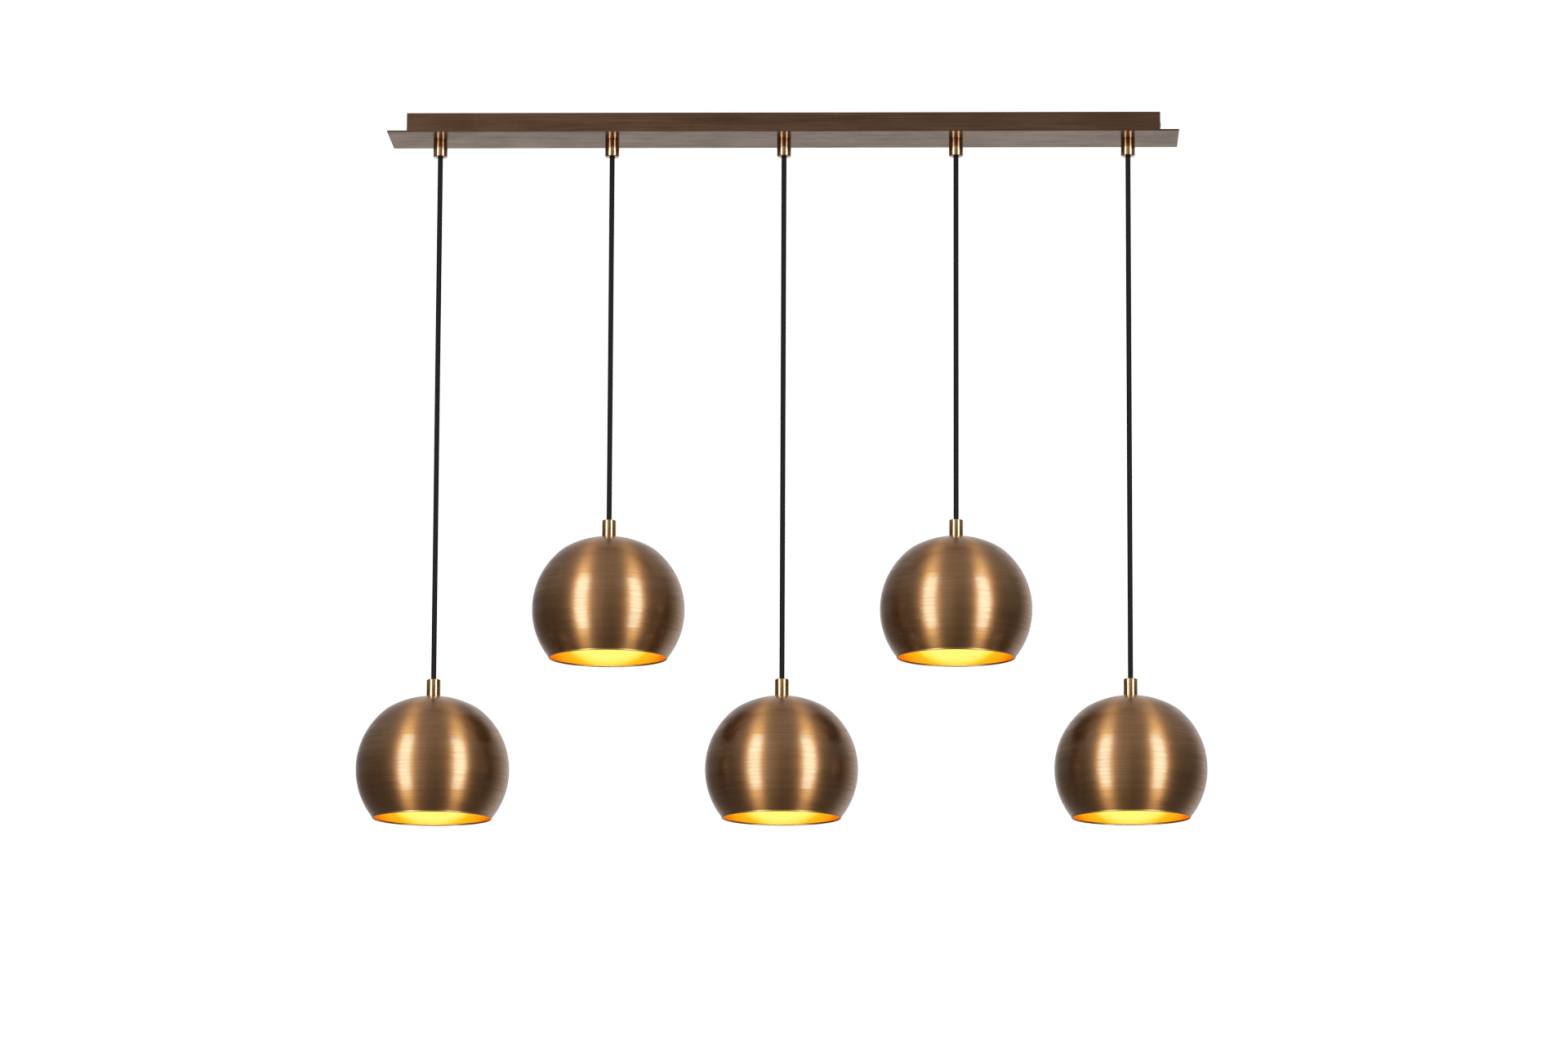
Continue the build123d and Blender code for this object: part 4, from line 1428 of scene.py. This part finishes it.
@dataclass(frozen=True)
class Studio:
    """The plain floor, the soft light and the camera."""

    eye: Point = (0.2425, -6.9474, -1.7048)
    pitch: float = 0.1521
    yaw: float = 0.0080
    lens: float = 137.09
    sensor_width: float = 36.0
    shift: tuple[float, float] = (-0.1, 0.08)
    floor_level: float = -8.0
    floor_size: float = 600.0
    box_distance: float = 8.0
    box_angles: tuple[float, float] = (-40.0, 45.0)
    box_size: tuple[float, float] = (2.4, 12.0)
    box_power: float = 600.0
    box_level: float = 0.0
    box_colour: Colour = (1.0, 0.97, 0.93)
    aim: Point = (0.0, 0.0, -0.65)
    wall_ramp: Ramp = (0.35, 0.95, 0.0, 1.0)  # of the bright wall behind the lamp, front to back
    wall_lean: float = 0.1
    across_ramp: Ramp = (-0.7, -0.15, 0.05, 0.48)  # of the wall, from left to right
    across_gain: float = 0.05
    left_ramp: Ramp = (0.02, 0.12, 0.08, 0.32)  # of the room in front, from right to left
    front_narrowness: float = 4.0
    ceiling_light: float = 0.38
    room_light: float = 0.09
    film_white: float = 1.6
    film_response: tuple[tuple[float, float], ...] = (
        (0.0, 0.0),
        (0.1, 0.1),
        (0.25, 0.25),
        (0.45, 0.44),
        (0.7, 0.65),
        (1.0, 0.82),
        (1.3, 0.93),
        (1.6, 1.0),
    )  # scene light, and how much of white the picture makes of it

    def add_camera(self) -> None:
        """Sets the camera at the photograph's angle, with its frame shifted as little as fits."""
        data = bpy.data.cameras.new("camera")
        data.lens = self.lens
        data.sensor_width = self.sensor_width
        data.shift_x, data.shift_y = self.shift
        data.clip_end = self.floor_size
        camera = in_scene("camera", data)
        camera.location = self.eye
        camera.rotation_euler = Euler((math.pi / 2 + self.pitch, 0.0, self.yaw))
        bpy.context.scene.camera = camera

    def add_softboxes(self) -> None:
        """Two tall softboxes, one each side of the camera."""
        for degrees, name in zip(self.box_angles, ("left_softbox", "right_softbox")):
            data = bpy.data.lights.new(name, "AREA")
            data.shape = "RECTANGLE"
            data.size, data.size_y = self.box_size
            data.energy = self.box_power
            data.color = self.box_colour
            light = in_scene(name, data)
            angle = math.radians(degrees)
            x, y = self.box_distance * math.sin(angle), -self.box_distance * math.cos(angle)
            light.location = (x, y, self.box_level)
            aim = Vector(self.aim) - Vector(light.location)
            light.rotation_euler = aim.to_track_quat("-Z", "Y").to_euler()
            light.visible_camera = False

    def add_floor(self) -> None:
        """A plain pale floor, which glows for the eye alone and which the metal doesn't mirror."""
        bpy.ops.mesh.primitive_plane_add(size=self.floor_size, location=(0.0, 0.0, self.floor_level))
        floor = bpy.context.object
        floor.name = "floor"
        floor.data.materials.append(PaleFloor("pale floor").material())
        floor.visible_glossy = False
        floor.visible_diffuse = False

    def add_surroundings(self) -> None:
        """White to the eye; in reflections a dim room with a bright wall behind the lamp."""
        world = bpy.data.worlds.new("studio")
        world.use_nodes = True
        graph = Graph(world.node_tree)
        x, y, z = graph.term("ShaderNodeTexCoord", gives="Generated").split()
        across = graph.ramp(x, self.across_ramp) + x.positive() * self.across_gain
        wall = graph.ramp(y - z * self.wall_lean, self.wall_ramp) * across
        facing = (y * -1.0).positive().do("POWER", self.front_narrowness)
        front = facing * graph.ramp(x * -1.0, self.left_ramp)
        room = wall + front + z.positive() * self.ceiling_light + self.room_light
        seen = graph.ray("Is Camera Ray")
        inputs = world.node_tree.nodes["Background"].inputs
        graph.feed(inputs["Strength"], seen * self.film_white + (seen * -1.0 + 1.0) * room)
        inputs["Color"].default_value = (1.0, 1.0, 1.0, 1.0)
        bpy.context.scene.world = world

    def load_film(self) -> None:
        """Lets bright colours run softly into white, as film does."""
        settings = bpy.context.scene.view_settings
        settings.view_transform = "Standard"
        settings.use_curve_mapping = True
        mapping = settings.curve_mapping
        mapping.white_level = (self.film_white,) * 3
        curve = mapping.curves[3]
        ends = (self.film_response[0], self.film_response[-1])
        for point, (light, shown) in zip((curve.points[0], curve.points[-1]), ends):
            point.location = (light / self.film_white, shown)
        for light, shown in self.film_response[1:-1]:
            curve.points.new(light / self.film_white, shown)
        mapping.update()

    def build(self) -> None:
        """Sets up the whole studio."""
        self.add_camera()
        self.add_softboxes()
        self.add_floor()
        self.add_surroundings()
        self.load_film()


def main() -> None:
    """Builds the lamp piece by piece."""
    Studio().build()
    Bar().build()
    WiringBox().build()
    for number in LAYOUT.places():
        Pendant(number, SpunBall()).build()


if __name__ == "__main__":
    logging.basicConfig(level=logging.INFO, format="%(name)s: %(message)s")
    main()
